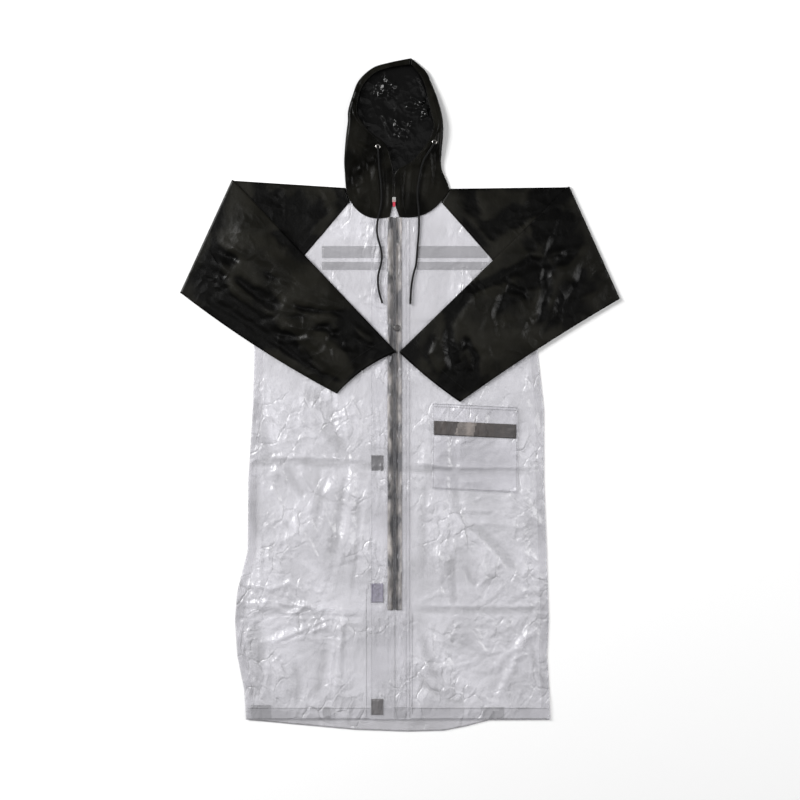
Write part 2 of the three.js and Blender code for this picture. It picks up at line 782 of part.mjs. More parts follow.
function hoodBack() {
  const inset = 1;
  const centre = [-12, 600];
  const up = (key) =>
    smoothRows(HOOD_ROWS[key], 26).map(({ edge: [x, y] }) => {
      const length = Math.hypot(x - centre[0], y - centre[1]);
      return [x - ((x - centre[0]) * inset) / length, y - ((y - centre[1]) * inset) / length];
    });
  const [right, left] = [up("right"), up("left")];
  const foot = [
    [right[0][0], BACK_NECK_Y + GAP],
    [left[0][0], BACK_NECK_Y + GAP],
  ];
  const above = ([, y]) => y > BACK_NECK_Y + GAP;
  return flatPiece([...foot, ...left.filter(above), ...right.filter(above).reverse().slice(1)], 0);
}

// Zip slider and its pull, at the throat

const SLIDER = {
  width: 8,
  length: 11,
  plate: 1.8,
  opening: 2,
  beam: 0.8,
  bridge: 7,
  leg: 1,
  bridgeWidth: 2.2,
};
const EYELET = { inner: 2.9, outer: 5.6, height: 1.2 };
const PULL = { width: 5.5, reach: 15, thick: 0.9, eye: 4.2, eyeWidth: 3.6 };
const SLIDER_REST = 5.5; // underside of the slider, on the two edges of the hood
const PIVOT = {
  x: CENTRE_X - 1.5,
  y: SLIDER_Y - 1.6,
  z: SLIDER_REST + SLIDER.plate + SLIDER.opening / 2,
};

function zipSlider() {
  const { width, length, plate, opening, beam, bridge, leg, bridgeWidth } = SLIDER;
  const base = flatPiece(rectangle([-width / 2, -length / 2], [width / 2, length / 2]), 0, plate);
  const arch = shapeOf(rectangle([-bridge / 2, plate - 0.2], [bridge / 2, plate + opening + beam]));
  arch.holes.push(
    new THREE.Path(
      rectangle([leg - bridge / 2, plate], [bridge / 2 - leg, plate + opening]).map(
        ([x, y]) => new THREE.Vector2(x, y),
      ),
    ),
  );
  const handle = new THREE.ExtrudeGeometry(arch, { depth: bridgeWidth, bevelEnabled: false })
    .translate(0, 0, -bridgeWidth / 2)
    .rotateY(Math.PI / 2)
    .rotateX(Math.PI / 2);
  return geometryOf(solidOf(base).add(solidOf(handle))).translate(PIVOT.x, SLIDER_Y, SLIDER_REST);
}

function zipPull() {
  const { width, reach, thick, eye, eyeWidth } = PULL;
  const outline = shapeOf([
    [-width / 2, thick / 2],
    [-width / 2, -reach + 2],
    [-width / 4, -reach],
    [width / 4, -reach],
    [width / 2, -reach + 2],
    [width / 2, thick / 2],
  ].reverse());
  outline.holes.push(
    new THREE.Path(
      rectangle([-eyeWidth / 2, -eye], [eyeWidth / 2, -thick / 2]).map(([x, y]) => new THREE.Vector2(x, y)),
    ),
  );
  const geometry = new THREE.ExtrudeGeometry(outline, { depth: thick, bevelEnabled: false });
  return geometry.translate(PIVOT.x, PIVOT.y, PIVOT.z - thick / 2);
}

// Drawstring and eyelets, laid on whatever is below them

// Height of a face of a mesh at a point, or nothing if the point is outside it
function faceHeight([a, b, c], x, y) {
  const area = (b.x - a.x) * (c.y - a.y) - (c.x - a.x) * (b.y - a.y);
  if (Math.abs(area) < 1e-6) return -Infinity;
  const s = ((x - a.x) * (c.y - a.y) - (c.x - a.x) * (y - a.y)) / area;
  const t = ((b.x - a.x) * (y - a.y) - (x - a.x) * (b.y - a.y)) / area;
  return s < 0 || t < 0 || s + t > 1 ? -Infinity : a.z + s * (b.z - a.z) + t * (c.z - a.z);
}

function facesOf(geometry) {
  const bare = geometry.index ? geometry.toNonIndexed() : geometry;
  const { array } = bare.attributes.position;
  const corner = (k) => new THREE.Vector3().fromArray(array, 3 * k);
  const face = (k) => [corner(k), corner(k + 1), corner(k + 2)];
  return Array.from({ length: array.length / 9 }, (_, k) => face(3 * k));
}

// Highest point of some faces within reach of a place
function topNear(faces, x, y, reach) {
  const ring = Array.from({ length: 8 }, (_, k) => [
    x + reach * Math.cos((Math.PI * k) / 4),
    y + reach * Math.sin((Math.PI * k) / 4),
  ]);
  const heights = ([px, py]) => faces.map((face) => faceHeight(face, px, py));
  return Math.max(...[[x, y], ...ring].flatMap(heights));
}

// Metal eyelet in the hood's casing, round the exit of the drawstring
function eyelet(key, faces) {
  const [x, y] = CORDS[key][0];
  const { inner, outer, height } = EYELET;
  const profile = [
    [inner, 0],
    [outer, 0],
    [outer, height * 0.5],
    [(inner + outer) / 2, height],
    [inner, height],
    [inner, 0],
  ].map(([r, up]) => new THREE.Vector2(r, up));
  const foot = topNear(faces, x, y, outer) + GAP;
  return new THREE.LatheGeometry(profile, 16).rotateX(Math.PI / 2).translate(x, y, foot);
}

function drawstring(key, faces) {
  const steps = 52;
  const sides = 8;
  const plan = new THREE.CatmullRomCurve3(CORDS[key].map(([x, y]) => new THREE.Vector3(x, y, 0)));
  const spots = plan.getSpacedPoints(steps);
  const tops = spots.map(({ x, y }) => topNear(faces, x, y, CORD_DIAMETER / 2));
  const around = (list, i) => [i - 1, i, i + 1].map((k) => list[clamp(k, 0, steps)]);
  const highest = tops.map((_, i) => Math.max(...around(tops, i)));
  const rest = highest.map((_, i) => around(highest, i).reduce((sum, top) => sum + top, 0) / 3);
  const route = new THREE.CatmullRomCurve3(
    spots.map(({ x, y }, i) => new THREE.Vector3(x, y, rest[i] + GAP + CORD_DIAMETER / 2)),
  );
  const section = new THREE.Shape(
    Array.from({ length: sides }, (_, k) => {
      const angle = (2 * Math.PI * (k + 0.5)) / sides;
      return new THREE.Vector2(Math.cos(angle), Math.sin(angle)).multiplyScalar(CORD_DIAMETER / 2);
    }),
  );
  return new THREE.ExtrudeGeometry(section, { extrudePath: route, steps, bevelEnabled: false });
}

// The coat

const coat = new THREE.Group();

function add(name, geometry, material) {
  const mesh = new THREE.Mesh(geometry, MATERIALS[material]);
  mesh.name = name;
  coat.add(mesh);
}

add("back_panel", backPanel(), "film");
add("back_hem", backHem(), "film");
add("zip_chain", zipChain(), "zip_tape");
add("zip_tape_right", zipTape(-1), "zip_tape");
add("zip_tape_left", zipTape(1), "zip_tape");
const flap = stormFlap();
add("storm_flap", flap, "film");
for (const key of ["right", "left"]) {
  const [front, hood] = [frontPanel(key), hoodSide(key)];
  const below = [front, hood, flap].flatMap(facesOf);
  const ring = eyelet(key, below);
  add(`front_${key}`, front, "film");
  add(`front_hem_${key}`, frontHem(key), "film");
  add(`sleeve_${key}_front`, sleeveSheet(key, false), "black_cloth");
  add(`sleeve_${key}_back`, sleeveSheet(key, true), "black_cloth");
  add(`hood_${key}`, hood, "black_cloth");
  add(`eyelet_${key}`, ring, "steel");
  add(`drawstring_${key}`, drawstring(key, [...below, ...facesOf(ring)]), "black_cloth");
}
add("hood_back", hoodBack(), "black_cloth");
for (const patchRow of PATCHES) {
  add(patchRow.name, closingPatch(patchRow), "grey_tape");
}
add("snap", snap(), "film");
add("pocket_bag", pocketBag(), "film");
add("pocket_tape", pocketTape(), "grey_tape");
add("pocket_flap", pocketFlap(), "film");
add("zip_slider", zipSlider(), "steel");
add("zip_pull", zipPull(), "red_pull");

export default coat;
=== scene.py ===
# Long hooded raincoat, spread flat on its back with its sleeves folded across the chest.
# Lengths in the tables are millimetres, as in the pattern. +Y runs from hem to hood.
import math

import bpy
import numpy as np
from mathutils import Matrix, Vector
from mathutils.geometry import delaunay_2d_cdt


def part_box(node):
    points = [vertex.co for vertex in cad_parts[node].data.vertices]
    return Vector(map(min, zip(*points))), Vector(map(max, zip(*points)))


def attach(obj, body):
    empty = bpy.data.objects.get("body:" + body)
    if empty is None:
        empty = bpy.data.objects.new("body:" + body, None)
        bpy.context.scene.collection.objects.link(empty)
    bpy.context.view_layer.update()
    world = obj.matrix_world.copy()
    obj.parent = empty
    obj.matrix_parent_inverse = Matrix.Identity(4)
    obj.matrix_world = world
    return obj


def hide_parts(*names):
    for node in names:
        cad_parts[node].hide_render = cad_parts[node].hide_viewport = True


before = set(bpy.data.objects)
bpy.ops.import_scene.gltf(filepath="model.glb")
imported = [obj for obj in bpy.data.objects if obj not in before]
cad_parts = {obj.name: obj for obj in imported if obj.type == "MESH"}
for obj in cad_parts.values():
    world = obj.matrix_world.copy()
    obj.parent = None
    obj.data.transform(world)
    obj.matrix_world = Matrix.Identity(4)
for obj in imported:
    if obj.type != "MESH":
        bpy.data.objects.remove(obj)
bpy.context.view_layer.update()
BODY = "coat"

# Sizes shared with the pattern

WALL = 1.0
HALF = WALL / 2
GAP = 0.3
LAYER = WALL + GAP
HEM_Y = -736.0
BACK_NECK_Y = 450.0
CENTRE_X = -12.0
HEM_DEPTH = 27.0
SEAM_TUCK = 8.0
FRONT_PUFF = 2.2
MAX_PUFF = 2.8
SLEEVE_REST = 5.95
FLAP_LEFT = 23.0
FLAP_RIGHT = -66.0
CHAIN_HEIGHT = 1.7
ZIP_END_Y = -488.0
CORD_DIAMETER = 4.6
EYELET_RADIUS = 5.6
TOOTH_PITCH = 1.27
TOOTH_SHIFT = 1.0
STITCH_PITCH = 4.4
HALF_STITCH = 1.2
FILM = 0.5  # thickness of the drawn film
CLOTH = 0.7  # thickness of the drawn cloth

# Heights of the lowest faces, and of what lies level
BACK_FACE = 0.55
HOOD_BACK_FACE = 0.85
SEAM_HEIGHT = 1.28
BAND_HEIGHT = 1.24
CORNER_HEIGHT = 3.85
BACK_STITCH_HEIGHT = 2.3

SIDES = ("right", "left")
BODY_Y = [-736, -670, -590, -511, -447, -352, -193, -34, 93]
BODY_X = {
    "right": [-350, -354, -370, -375, -370, -346, -345, -335, -331],
    "left": [341, 339, 334, 338, 336, 333, 327, 327, 313],
}

BACK_HEM = {
    "x": [-348, -245, -100, 15, 100, 150, 204, 340],
    "y": [-737, -747, -760, -764, -762, -752, -738, -737],
}

SLEEVES = {
    "right": dict(
        sign=-1, neck=(-124, 470), seam=[(-113.5, 436), (-224, 308)], underarm=(-336, 179),
        fold_top=(-381, 488), fold_low=(-499, 231.5), cuff_top=(-7.5, 97), cuff_low=(-143, 3),
        low_bow=9, cuff_bow=10,
    ),
    "left": dict(
        sign=1, neck=(113, 468), seam=[(94, 437), (204, 313)], underarm=(318, 166),
        fold_top=(384, 473), fold_low=(499, 218), cuff_top=(-2, 97), cuff_low=(136, -16),
        low_bow=-5, cuff_bow=-4,
    ),
}

# Hood sides from the neck up: outer edge, rim, rise off the surface, bow of the section
HOOD_ROWS = {
    "right": [
        (-114.5, 447, -23, 404, 3.7, 21), (-122, 474, -14.5, 446, 4.6, 12),
        (-127, 520, -15, 502, 8, 5), (-126, 552, -24, 545, 13, 0), (-123, 588, -38, 572, 17, 0),
        (-119, 620, -71, 598, 18, 0), (-118, 645, -95, 634, 17, 0), (-108, 679, -94, 672, 15, 0),
        (-94, 713, -82, 704, 13, 0), (-62, 742, -56, 730, 11, 0), (-25, 754, -23, 742, 10, 0),
        (24.7, 764, 21.7, 749, 10, 0),
    ],
    "left": [
        (97, 447, -2, 404, 3.7, -17), (104, 474, -13.5, 446, 4.6, -10), (94, 520, -12, 502, 8, -4),
        (95, 552, 30, 531, 13, 0), (98, 588, 62, 572, 17, 0), (98, 618, 76, 604, 18, 0),
        (92, 650, 70, 640, 17, 0), (83, 679, 63, 672, 15, 0), (72, 706, 57, 698, 13, 0),
        (58, 735, 46, 724, 11, 0), (25.3, 764, 25.3, 749, 10, 0),
    ],
}
THROAT_TOP = 515.0

POCKET = dict(right=73, left=267, top=-19, bottom=-213, lean=-9, flap_depth=72)
POCKET_TAPE = dict(top=-58, bottom=-90)
PATCHES = {"patch_waist": (-154, 34), "patch_knee": (-449, 43), "patch_hem": (-707, 36)}

CORDS = {
    "right": [
        (-50, 562), (-49, 548), (-48, 532), (-47, 515), (-45, 498), (-43, 478), (-42, 458),
        (-42, 438), (-45, 420), (-49, 404), (-52, 385), (-52, 366), (-48, 348), (-43, 330),
        (-41, 312), (-44, 293), (-49, 274), (-50, 254), (-47, 232), (-40, 208),
    ],
    "left": [
        (78, 572), (72, 560), (62, 545), (53, 529), (47, 508), (43, 486), (40, 464), (40, 444),
        (42, 424), (43, 406), (43, 384), (42, 362), (40, 338), (38, 314), (36, 294), (31, 276),
        (27, 256), (25, 238), (24, 222), (23, 206),
    ],
}

# Creases are rows of: way of points, rise (negative is a trough), spread to each side.
# Packing folds run right across the coat.
FILM_FOLDS = [
    ([(-338, -161), (-227, -150), (-68, -157)], -3.0, 4.5),
    ([(-68, -157), (0, -163), (125, -175), (330, -173)], -3.0, 4.5),
    ([(-330, -152), (-227, -141), (-75, -148)], 1.8, 8),
    ([(30, -154), (125, -166), (330, -164)], 1.6, 8),
    ([(34, -489), (336, -489)], -3.0, 4.5),
    ([(34, -480), (336, -480)], 1.4, 7),
    ([(-370, -494), (-240, -500), (-68, -504)], -2.4, 4.5),
    ([(-182, 166), (0, 163), (160, 166)], -2.2, 4.5),
    ([(-134, -470), (-146, -600), (-158, -725)], -2.6, 5),
    ([(-126, -470), (-138, -600), (-150, -725)], 1.8, 8),
    ([(-290, -569), (-220, -540), (-148, -506)], -2.4, 5),
    ([(-230, -165), (-180, -260), (-124, -360)], 2.4, 7),
    ([(-300, -170), (-262, -280), (-210, -330), (-170, -400)], 2.2, 7),
    ([(-330, -200), (-316, -300), (-318, -420)], 1.8, 7),
    ([(-108, -170), (-112, -260), (-140, -400)], 2.2, 6),
    ([(-90, -200), (-96, -330), (-110, -470)], -1.8, 9),
    ([(-345, -600), (-366, -560), (-352, -500)], 2.0, 7),
    ([(-345, -154), (-300, -152), (-227, -150), (-180, -157), (-100, -158)], -2.6, 15),
    ([(-100, -158), (-60, -160), (0, -164), (120, -176), (330, -176)], -2.6, 15),
    ([(-300, -143), (-262, -137), (-225, -152)], 2.2, 9),
    ([(-370, -470), (-280, -472), (-160, -486), (-68, -489)], 2.2, 14),
    ([(34, -488), (160, -489), (336, -489)], -2.4, 14),
    ([(-182, 168), (-60, 165), (60, 165), (160, 168)], -1.0, 12),
    ([(-225, 11), (-186, -14), (-160, -40), (-164, -80), (-134, -123), (-112, -150)], -3.4, 24),
    ([(-330, 0), (-318, -70), (-300, -130), (-270, -150)], -2.4, 26),
    ([(-308, -190), (-250, -280), (-184, -375)], 2.2, 20),
    ([(-262, -150), (-240, -200), (-214, -236)], -2.0, 15),
    ([(-325, -175), (-330, -260), (-322, -330)], -2.0, 22),
    ([(-190, -160), (-180, -230), (-196, -300)], -2.0, 16),
    ([(-100, -163), (-113, -230), (-125, -371)], 2.6, 20),
    ([(-126, -180), (-140, -290), (-158, -380)], -2.4, 18),
    ([(-306, -567), (-220, -536), (-146, -512)], 2.4, 18),
    ([(-127, -479), (-141, -540), (-147, -595), (-152, -713)], 2.6, 18),
    ([(-170, -560), (-180, -640), (-200, -700)], -2.2, 22),
    ([(-330, -510), (-322, -600), (-335, -700)], -2.8, 26),
    ([(-290, -600), (-270, -660), (-280, -708)], 2.0, 18),
    ([(-240, -600), (-226, -660), (-236, -706)], -1.8, 16),
    ([(-350, -500), (-300, -470), (-250, -500), (-200, -470)], 2.4, 11),
    ([(-345, -430), (-290, -440), (-250, -425), (-200, -450)], 2.2, 10),
    ([(-340, -470), (-300, -500), (-240, -480), (-180, -500)], -2.2, 9),
    ([(115, -10), (119, -100), (122, -160), (127, -254), (152, -293)], -2.8, 15),
    ([(152, -293), (186, -311), (216, -343), (243, -372), (268, -400)], -3.2, 17),
    ([(118, -352), (120, -420), (122, -482)], -2.6, 13),
    ([(88, -330), (86, -400), (90, -470)], 1.8, 13),
    ([(150, -390), (160, -420), (176, -432)], -2.4, 12),
    ([(148, -527), (172, -560), (198, -590)], 2.2, 11),
    ([(45, -536), (66, -602), (84, -652)], -2.4, 18),
    ([(293, -527), (275, -572), (236, -656), (218, -690)], 2.8, 15),
    ([(300, -500), (330, -470), (338, -510)], 2.0, 12),
    ([(240, -480), (290, -455), (330, -450)], -1.6, 10),
    ([(204, -627), (262, -570), (319, -520)], 2.4, 15),
    ([(296, -560), (306, -610), (330, -660)], -2.2, 14),
    ([(100, -570), (110, -640), (96, -706)], 1.8, 16),
    ([(34, -620), (60, -660), (104, -690), (160, -700)], -2.0, 13),
    ([(190, -330), (188, -390), (190, -430)], 1.8, 11),
    ([(272, -4), (300, -50), (322, -93)], 2.0, 16),
    ([(267, -226), (296, -262), (325, -304)], 2.0, 15),
    ([(140, -262), (190, -262), (230, -268)], 1.4, 9),
    ([(150, -300), (200, -290), (246, -296)], 1.4, 8),
    ([(60, -180), (52, -260), (56, -340), (44, -430)], -2.0, 16),
    ([(290, -190), (276, -300), (282, -400), (272, -470)], 1.6, 16),
    ([(-200, 360), (-150, 330), (-110, 322)], 1.2, 9),
    ([(-170, 380), (-120, 350), (-80, 344)], 1.2, 8),
    ([(-208, 300), (-160, 290), (-120, 296)], -1.0, 10),
    ([(130, 380), (100, 340), (70, 330)], 1.2, 9),
    ([(160, 320), (120, 300), (64, 290)], 1.0, 9),
]

SLEEVE_CREASES = {
    "right": {
        "upper": [
            ([(-272, 474), (-286, 440), (-304, 413)], -4.0, 20),
            ([(-212, 404), (-232, 380), (-246, 347)], -3.4, 18),
            ([(-240, 470), (-216, 440), (-220, 412)], -2.6, 16),
            ([(-190, 470), (-180, 440), (-190, 416)], -2.4, 14),
            ([(-137, 431), (-184, 380), (-232, 326)], 2.6, 9),
            ([(-330, 470), (-290, 420), (-250, 380)], -2.6, 18),
            ([(-150, 440), (-186, 400), (-226, 350)], -1.8, 8),
        ],
        "lower": [
            ([(-436, 329), (-400, 318), (-366, 300)], -5.2, 26),
            ([(-384, 275), (-350, 246), (-318, 218), (-261, 200)], -5.6, 25),
            ([(-309, 272), (-270, 262), (-232, 250)], -3.4, 15),
            ([(-250, 200), (-190, 192), (-118, 184)], -4.4, 13),
            ([(-304, 141), (-232, 136), (-154, 159)], -4.2, 13),
            ([(-129, 123), (-70, 106), (-22, 93)], -5.0, 25),
            ([(-159, 32), (-110, 36), (-50, 50)], -4.2, 20),
            ([(-474, 238), (-377, 184), (-304, 136), (-195, 54)], -3.6, 12),
            ([(-430, 380), (-372, 330), (-300, 290)], 2.6, 22),
            ([(-420, 260), (-380, 250), (-352, 200)], 2.8, 18),
            ([(-330, 330), (-280, 300), (-200, 232)], 2.2, 18),
            ([(-250, 160), (-200, 120), (-150, 96)], 2.4, 18),
            ([(-200, 90), (-170, 120), (-130, 150)], -2.6, 13),
            ([(-230, 110), (-216, 82), (-180, 60)], 2.2, 11),
            ([(-176, 132), (-160, 92), (-150, 60)], 2.6, 12),
            ([(-110, 160), (-80, 130), (-40, 108)], 2.0, 14),
        ],
    },
    "left": {
        "upper": [
            ([(159, 465), (170, 430), (182, 404)], -3.6, 16),
            ([(279, 431), (246, 404), (211, 379)], -3.2, 16),
            ([(230, 468), (222, 440), (206, 410)], 2.2, 14),
            ([(120, 440), (160, 396), (212, 336)], 2.4, 8),
            ([(330, 460), (300, 430), (260, 372)], -2.6, 18),
            ([(134, 446), (178, 400), (222, 346)], -1.8, 8),
        ],
        "lower": [
            ([(325, 311), (250, 276), (166, 234)], -4.8, 20),
            ([(325, 295), (334, 243), (313, 163)], -4.8, 18),
            ([(163, 222), (109, 163), (118, 41)], -4.6, 18),
            ([(143, 136), (175, 86), (163, 39)], -4.2, 16),
            ([(327, 314), (380, 330), (440, 330)], 2.8, 14),
            ([(327, 314), (370, 280), (430, 236)], 2.6, 16),
            ([(327, 314), (356, 360), (390, 420)], -3.0, 18),
            ([(327, 314), (300, 350), (290, 390)], 2.4, 13),
            ([(327, 314), (280, 320), (230, 318)], 2.2, 12),
            ([(360, 220), (300, 180), (240, 110)], 2.4, 18),
            ([(420, 300), (400, 240), (380, 200)], -3.2, 18),
            ([(240, 240), (220, 180), (230, 120)], -3.0, 16),
            ([(210, 200), (190, 150), (200, 90)], 2.4, 14),
            ([(100, 190), (60, 150), (40, 100)], 2.2, 14),
            ([(80, 140), (60, 90), (84, 40)], -3.0, 14),
            ([(420, 400), (440, 340), (470, 260)], 2.2, 18),
        ],
    },
}

HOOD_CREASES = [
    ([(-104, 560), (-92, 520), (-78, 470)], 3.0, 7),
    ([(-88, 574), (-70, 520), (-62, 452)], -2.6, 7),
    ([(-112, 530), (-106, 490), (-96, 452)], -2.6, 7),
    ([(-60, 548), (-54, 500), (-48, 440)], 2.4, 6),
    ([(-36, 520), (-32, 470), (-34, 420)], -2.2, 6),
    ([(-26, 480), (-24, 450), (-27, 412)], 1.8, 5),
    ([(30, 540), (26, 490), (22, 430)], 2.6, 6),
    ([(16, 520), (12, 470), (10, 412)], -2.4, 6),
    ([(50, 552), (52, 500), (46, 440)], -2.8, 7),
    ([(66, 560), (70, 500), (62, 446)], 2.8, 7),
    ([(82, 560), (84, 510), (80, 460)], -2.4, 7),
    ([(58, 480), (76, 486), (92, 480)], -2.0, 6),
    ([(2, 480), (0, 450), (2, 414)], 1.8, 5),
    ([(-110, 600), (-100, 570), (-70, 556)], -2.4, 8),
    ([(88, 600), (80, 570), (52, 552)], 2.0, 8),
]


# Small helpers


def ease(t):
    t = np.clip(t, 0, 1)
    return t * t * (3 - 2 * t)


def mix(a, b, t):
    return a * (1 - t) + b * t


def distances(points):
    """How far along a bent line each of its points is."""
    return np.concatenate([[0], np.cumsum(np.linalg.norm(np.diff(points, axis=0), axis=1))])


def points_at(points, gone, at):
    """Points of a bent line, at some distances along it."""
    return np.stack([np.interp(at, gone, column) for column in points.T], -1)


def along(points, t):
    """Points at shares t of a bent line's length."""
    points = np.array(points, float)
    gone = distances(points)
    return points_at(points, gone / gone[-1], t)


def spline(a, b, c, d, f):
    """A smooth line through four points, at share f of the way from the second to the third."""
    bend = (2 * a - 5 * b + 4 * c - d) * f**2 + (3 * b - a - 3 * c + d) * f**3
    return 0.5 * (2 * b + (c - a) * f + bend)


def bowed(a, b, t, bow=0.0):
    """Points of an edge from a to b whose middle stands off to the right by bow."""
    a = np.asarray(a, float)
    b = np.asarray(b, float)
    way = b - a
    length = np.hypot(way[..., 0], way[..., 1])[..., None]
    side = np.stack([way[..., 1], -way[..., 0]], -1) / length
    t = np.asarray(t, float)[..., None]
    return mix(a, b, t) + side * (4 * np.asarray(bow)[..., None] * t * (1 - t))


def to_line(x, y, way):
    """Distance to a bent line, and the share of it where the nearest point is."""
    best = np.full(np.shape(x), 1e9)
    share = np.zeros(np.shape(x))
    count = len(way) - 1
    for k in range(count):
        (ax, ay), (bx, by) = way[k], way[k + 1]
        dx, dy = bx - ax, by - ay
        t = np.clip(((x - ax) * dx + (y - ay) * dy) / (dx * dx + dy * dy), 0, 1)
        away = np.hypot(x - ax - t * dx, y - ay - t * dy)
        near = away < best
        best = np.where(near, away, best)
        share = np.where(near, (k + t) / count, share)
    return best, share


def creases(x, y, table):
    """Height that creases add: a sharp line with nearly flat sides, fading at both ends."""
    z = np.zeros(np.shape(x))
    for way, rise, spread in table:
        away, share = to_line(x, y, way)
        near = np.clip(1 - away / spread, 0, 1)
        fade = ease(np.minimum(share, 1 - share) * 5 + 0.15)
        z += rise * fade * (0.55 * near + 0.45 * near * near * (3 - 2 * near))
    return z


def scattered(seed, count, box, length, rise, spread, slope=(0, 180)):
    """Short creases in a region, always the same for one seed."""
    pick = np.random.default_rng(seed)
    rows = []
    for _ in range(count):
        x = pick.uniform(box[0], box[2])
        y = pick.uniform(box[1], box[3])
        angle = math.radians(pick.uniform(*slope))
        turn = math.radians(pick.uniform(-38, 38))
        reach = pick.uniform(*length) / 2
        height = pick.uniform(*rise) * pick.choice([-1, 1])
        way = [
            (x - reach * math.cos(angle), y - reach * math.sin(angle)),
            (x, y),
            (x + reach * math.cos(angle + turn), y + reach * math.sin(angle + turn)),
        ]
        rows.append((way, height, pick.uniform(*spread)))
    return rows


def facet(corners, rise, x, y):
    """Height of a flat facet at x and y, and 0 beside it."""
    (ax, ay), (bx, by), (cx, cy) = corners
    whole = (by - cy) * (ax - cx) + (cx - bx) * (ay - cy)
    if abs(whole) < 1e-9:
        return 0 * x
    a = ((by - cy) * (x - cx) + (cx - bx) * (y - cy)) / whole
    b = ((cy - ay) * (x - cx) + (ax - cx) * (y - cy)) / whole
    c = 1 - a - b
    inside = (a >= 0) & (b >= 0) & (c >= 0)
    return np.where(inside, a * rise[0] + b * rise[1] + c * rise[2], 0)


class Relief:
    """Heights over a region, kept on a fine square grid and read between its points."""

    def __init__(self, box, step=2.5):
        self.low = np.array(box[:2], float)
        self.step = step
        size = ((np.array(box[2:], float) - self.low) / step).astype(int) + 2
        self.heights = np.zeros(tuple(size))
        self.x = self.low[0] + step * np.arange(size[0])[:, None] + 0 * self.heights
        self.y = self.low[1] + step * np.arange(size[1])[None, :] + 0 * self.heights

    def add(self, table, share=1.0):
        """Add creases, each only where it reaches."""
        for row in table:
            way = np.array(row[0])
            start = ((way.min(0) - row[2] - self.low) / self.step).astype(int).clip(0)
            end = ((way.max(0) + row[2] - self.low) / self.step).astype(int).clip(0) + 2
            i, j = slice(start[0], end[0]), slice(start[1], end[1])
            if self.x[i, j].size:
                self.heights[i, j] += share * creases(self.x[i, j], self.y[i, j], [row])
        return self

    def crumple(self, seed, spacing, height, turn=0.0, stretch=1.0):
        """Add flat three-cornered facets of random heights, longer along the turned way."""
        pick = np.random.default_rng(seed)
        way, across = math.cos(math.radians(turn)), math.sin(math.radians(turn))
        along_x = (self.x * way + self.y * across) / stretch
        along_y = self.y * way - self.x * across
        xs, ys = (
            np.arange(a.min() - 2 * spacing, a.max() + 2 * spacing, spacing) for a in (along_x, along_y)
        )
        spots = [
            Vector((a + pick.uniform(-0.42, 0.42) * spacing, b + pick.uniform(-0.42, 0.42) * spacing))
            for a in xs
            for b in ys
        ]
        result = delaunay_2d_cdt(spots, [], [], 0, 1e-5)
        points = np.array([tuple(c) for c in result[0]])
        rise = pick.uniform(-1, 1, len(points)) * height
        for corners in result[2]:
            x, y = points[corners].mean(0)
            reach = max(np.hypot(*(points[corners] - (x, y)).T)) * max(1, stretch)
            middle = np.array([x * stretch * way - y * across, x * stretch * across + y * way])
            start = ((middle - self.low - reach) / self.step).astype(int).clip(0)
            end = (((middle - self.low + reach) / self.step).astype(int) + 2).clip(0)
            near = slice(start[0], end[0]), slice(start[1], end[1])
            self.heights[near] += facet(points[corners], rise[corners], along_x[near], along_y[near])
        return self

    def __call__(self, x, y):
        i = np.clip((np.asarray(x) - self.low[0]) / self.step, 0, self.heights.shape[0] - 1.001)
        j = np.clip((np.asarray(y) - self.low[1]) / self.step, 0, self.heights.shape[1] - 1.001)
        a, b = i.astype(int), j.astype(int)
        f, g = i - a, j - b
        z = self.heights
        low = z[a, b] * (1 - f) + z[a + 1, b] * f
        high = z[a, b + 1] * (1 - f) + z[a + 1, b + 1] * f
        return low * (1 - g) + high * g


# Where the coat's edges run


def side_x(key, y):
    """The body's edge: the side seam up to the underarm, then the raglan seam."""
    s = SLEEVES[key]
    seam_top, seam_low = s["seam"]
    ys = BODY_Y + [s["underarm"][1], seam_low[1], seam_top[1] + 14]
    xs = BODY_X[key] + [s["underarm"][0], seam_low[0], seam_top[0] - 10 * s["sign"]]
    return np.interp(y, ys, xs) - s["sign"] * GAP


def from_side(x, y):
    """Distance from the nearer side seam."""
    right, left = (np.interp(y, BODY_Y, BODY_X[key]) for key in SIDES)
    return np.minimum(x - right, left - x)


def neck_points():
    """The neck seam, from the wearer's right to left."""
    t = np.linspace(0, 1, 17)
    feet = [HOOD_ROWS[key][0] for key in SIDES]
    right, left = (bowed(foot[0:2], foot[2:4], t, foot[5]) for foot in feet)
    return np.concatenate([right, left[::-1]])


NECK = neck_points()


def neck_y(x):
    return np.interp(x, NECK[:, 0], NECK[:, 1])


# Heights of the layers of the body

FINE_FILM = (
    scattered(3, 190, (-360, -720, 335, -20), (30, 120), (0.5, 1.6), (4, 9))
    + scattered(5, 120, (-350, -560, -150, -420), (25, 90), (0.6, 1.9), (3, 7), (-30, 40))
    + scattered(8, 150, (120, -700, 335, -180), (20, 80), (0.5, 1.7), (3, 7), (-60, 60))
    + scattered(9, 70, (-230, 170, 210, 400), (20, 80), (0.3, 1.0), (3, 7), (10, 70))
    + scattered(12, 90, (-340, -300, -80, 0), (40, 140), (0.4, 1.3), (4, 10), (60, 120))
)
FILM_BOX = (-385, -745, 350, 460)

# How far from an edge the film has risen to its full height
FLAP_SLOPE = 55
SIDE_SLOPE = 70
EDGE_SLOPE = 22

FILM_RELIEF = Relief(FILM_BOX, 2.0).add(FILM_FOLDS, 1.7).add(FINE_FILM, 1.15)
FILM_RELIEF.crumple(14, 62, 1.9, 80, 1.7).crumple(15, 24, 0.8, 70, 1.5).crumple(16, 12, 0.22, 30, 1.3)


def beside_flap(x):
    middle = (FLAP_LEFT + FLAP_RIGHT) / 2
    return np.abs(x - middle) - (FLAP_LEFT - FLAP_RIGHT) / 2


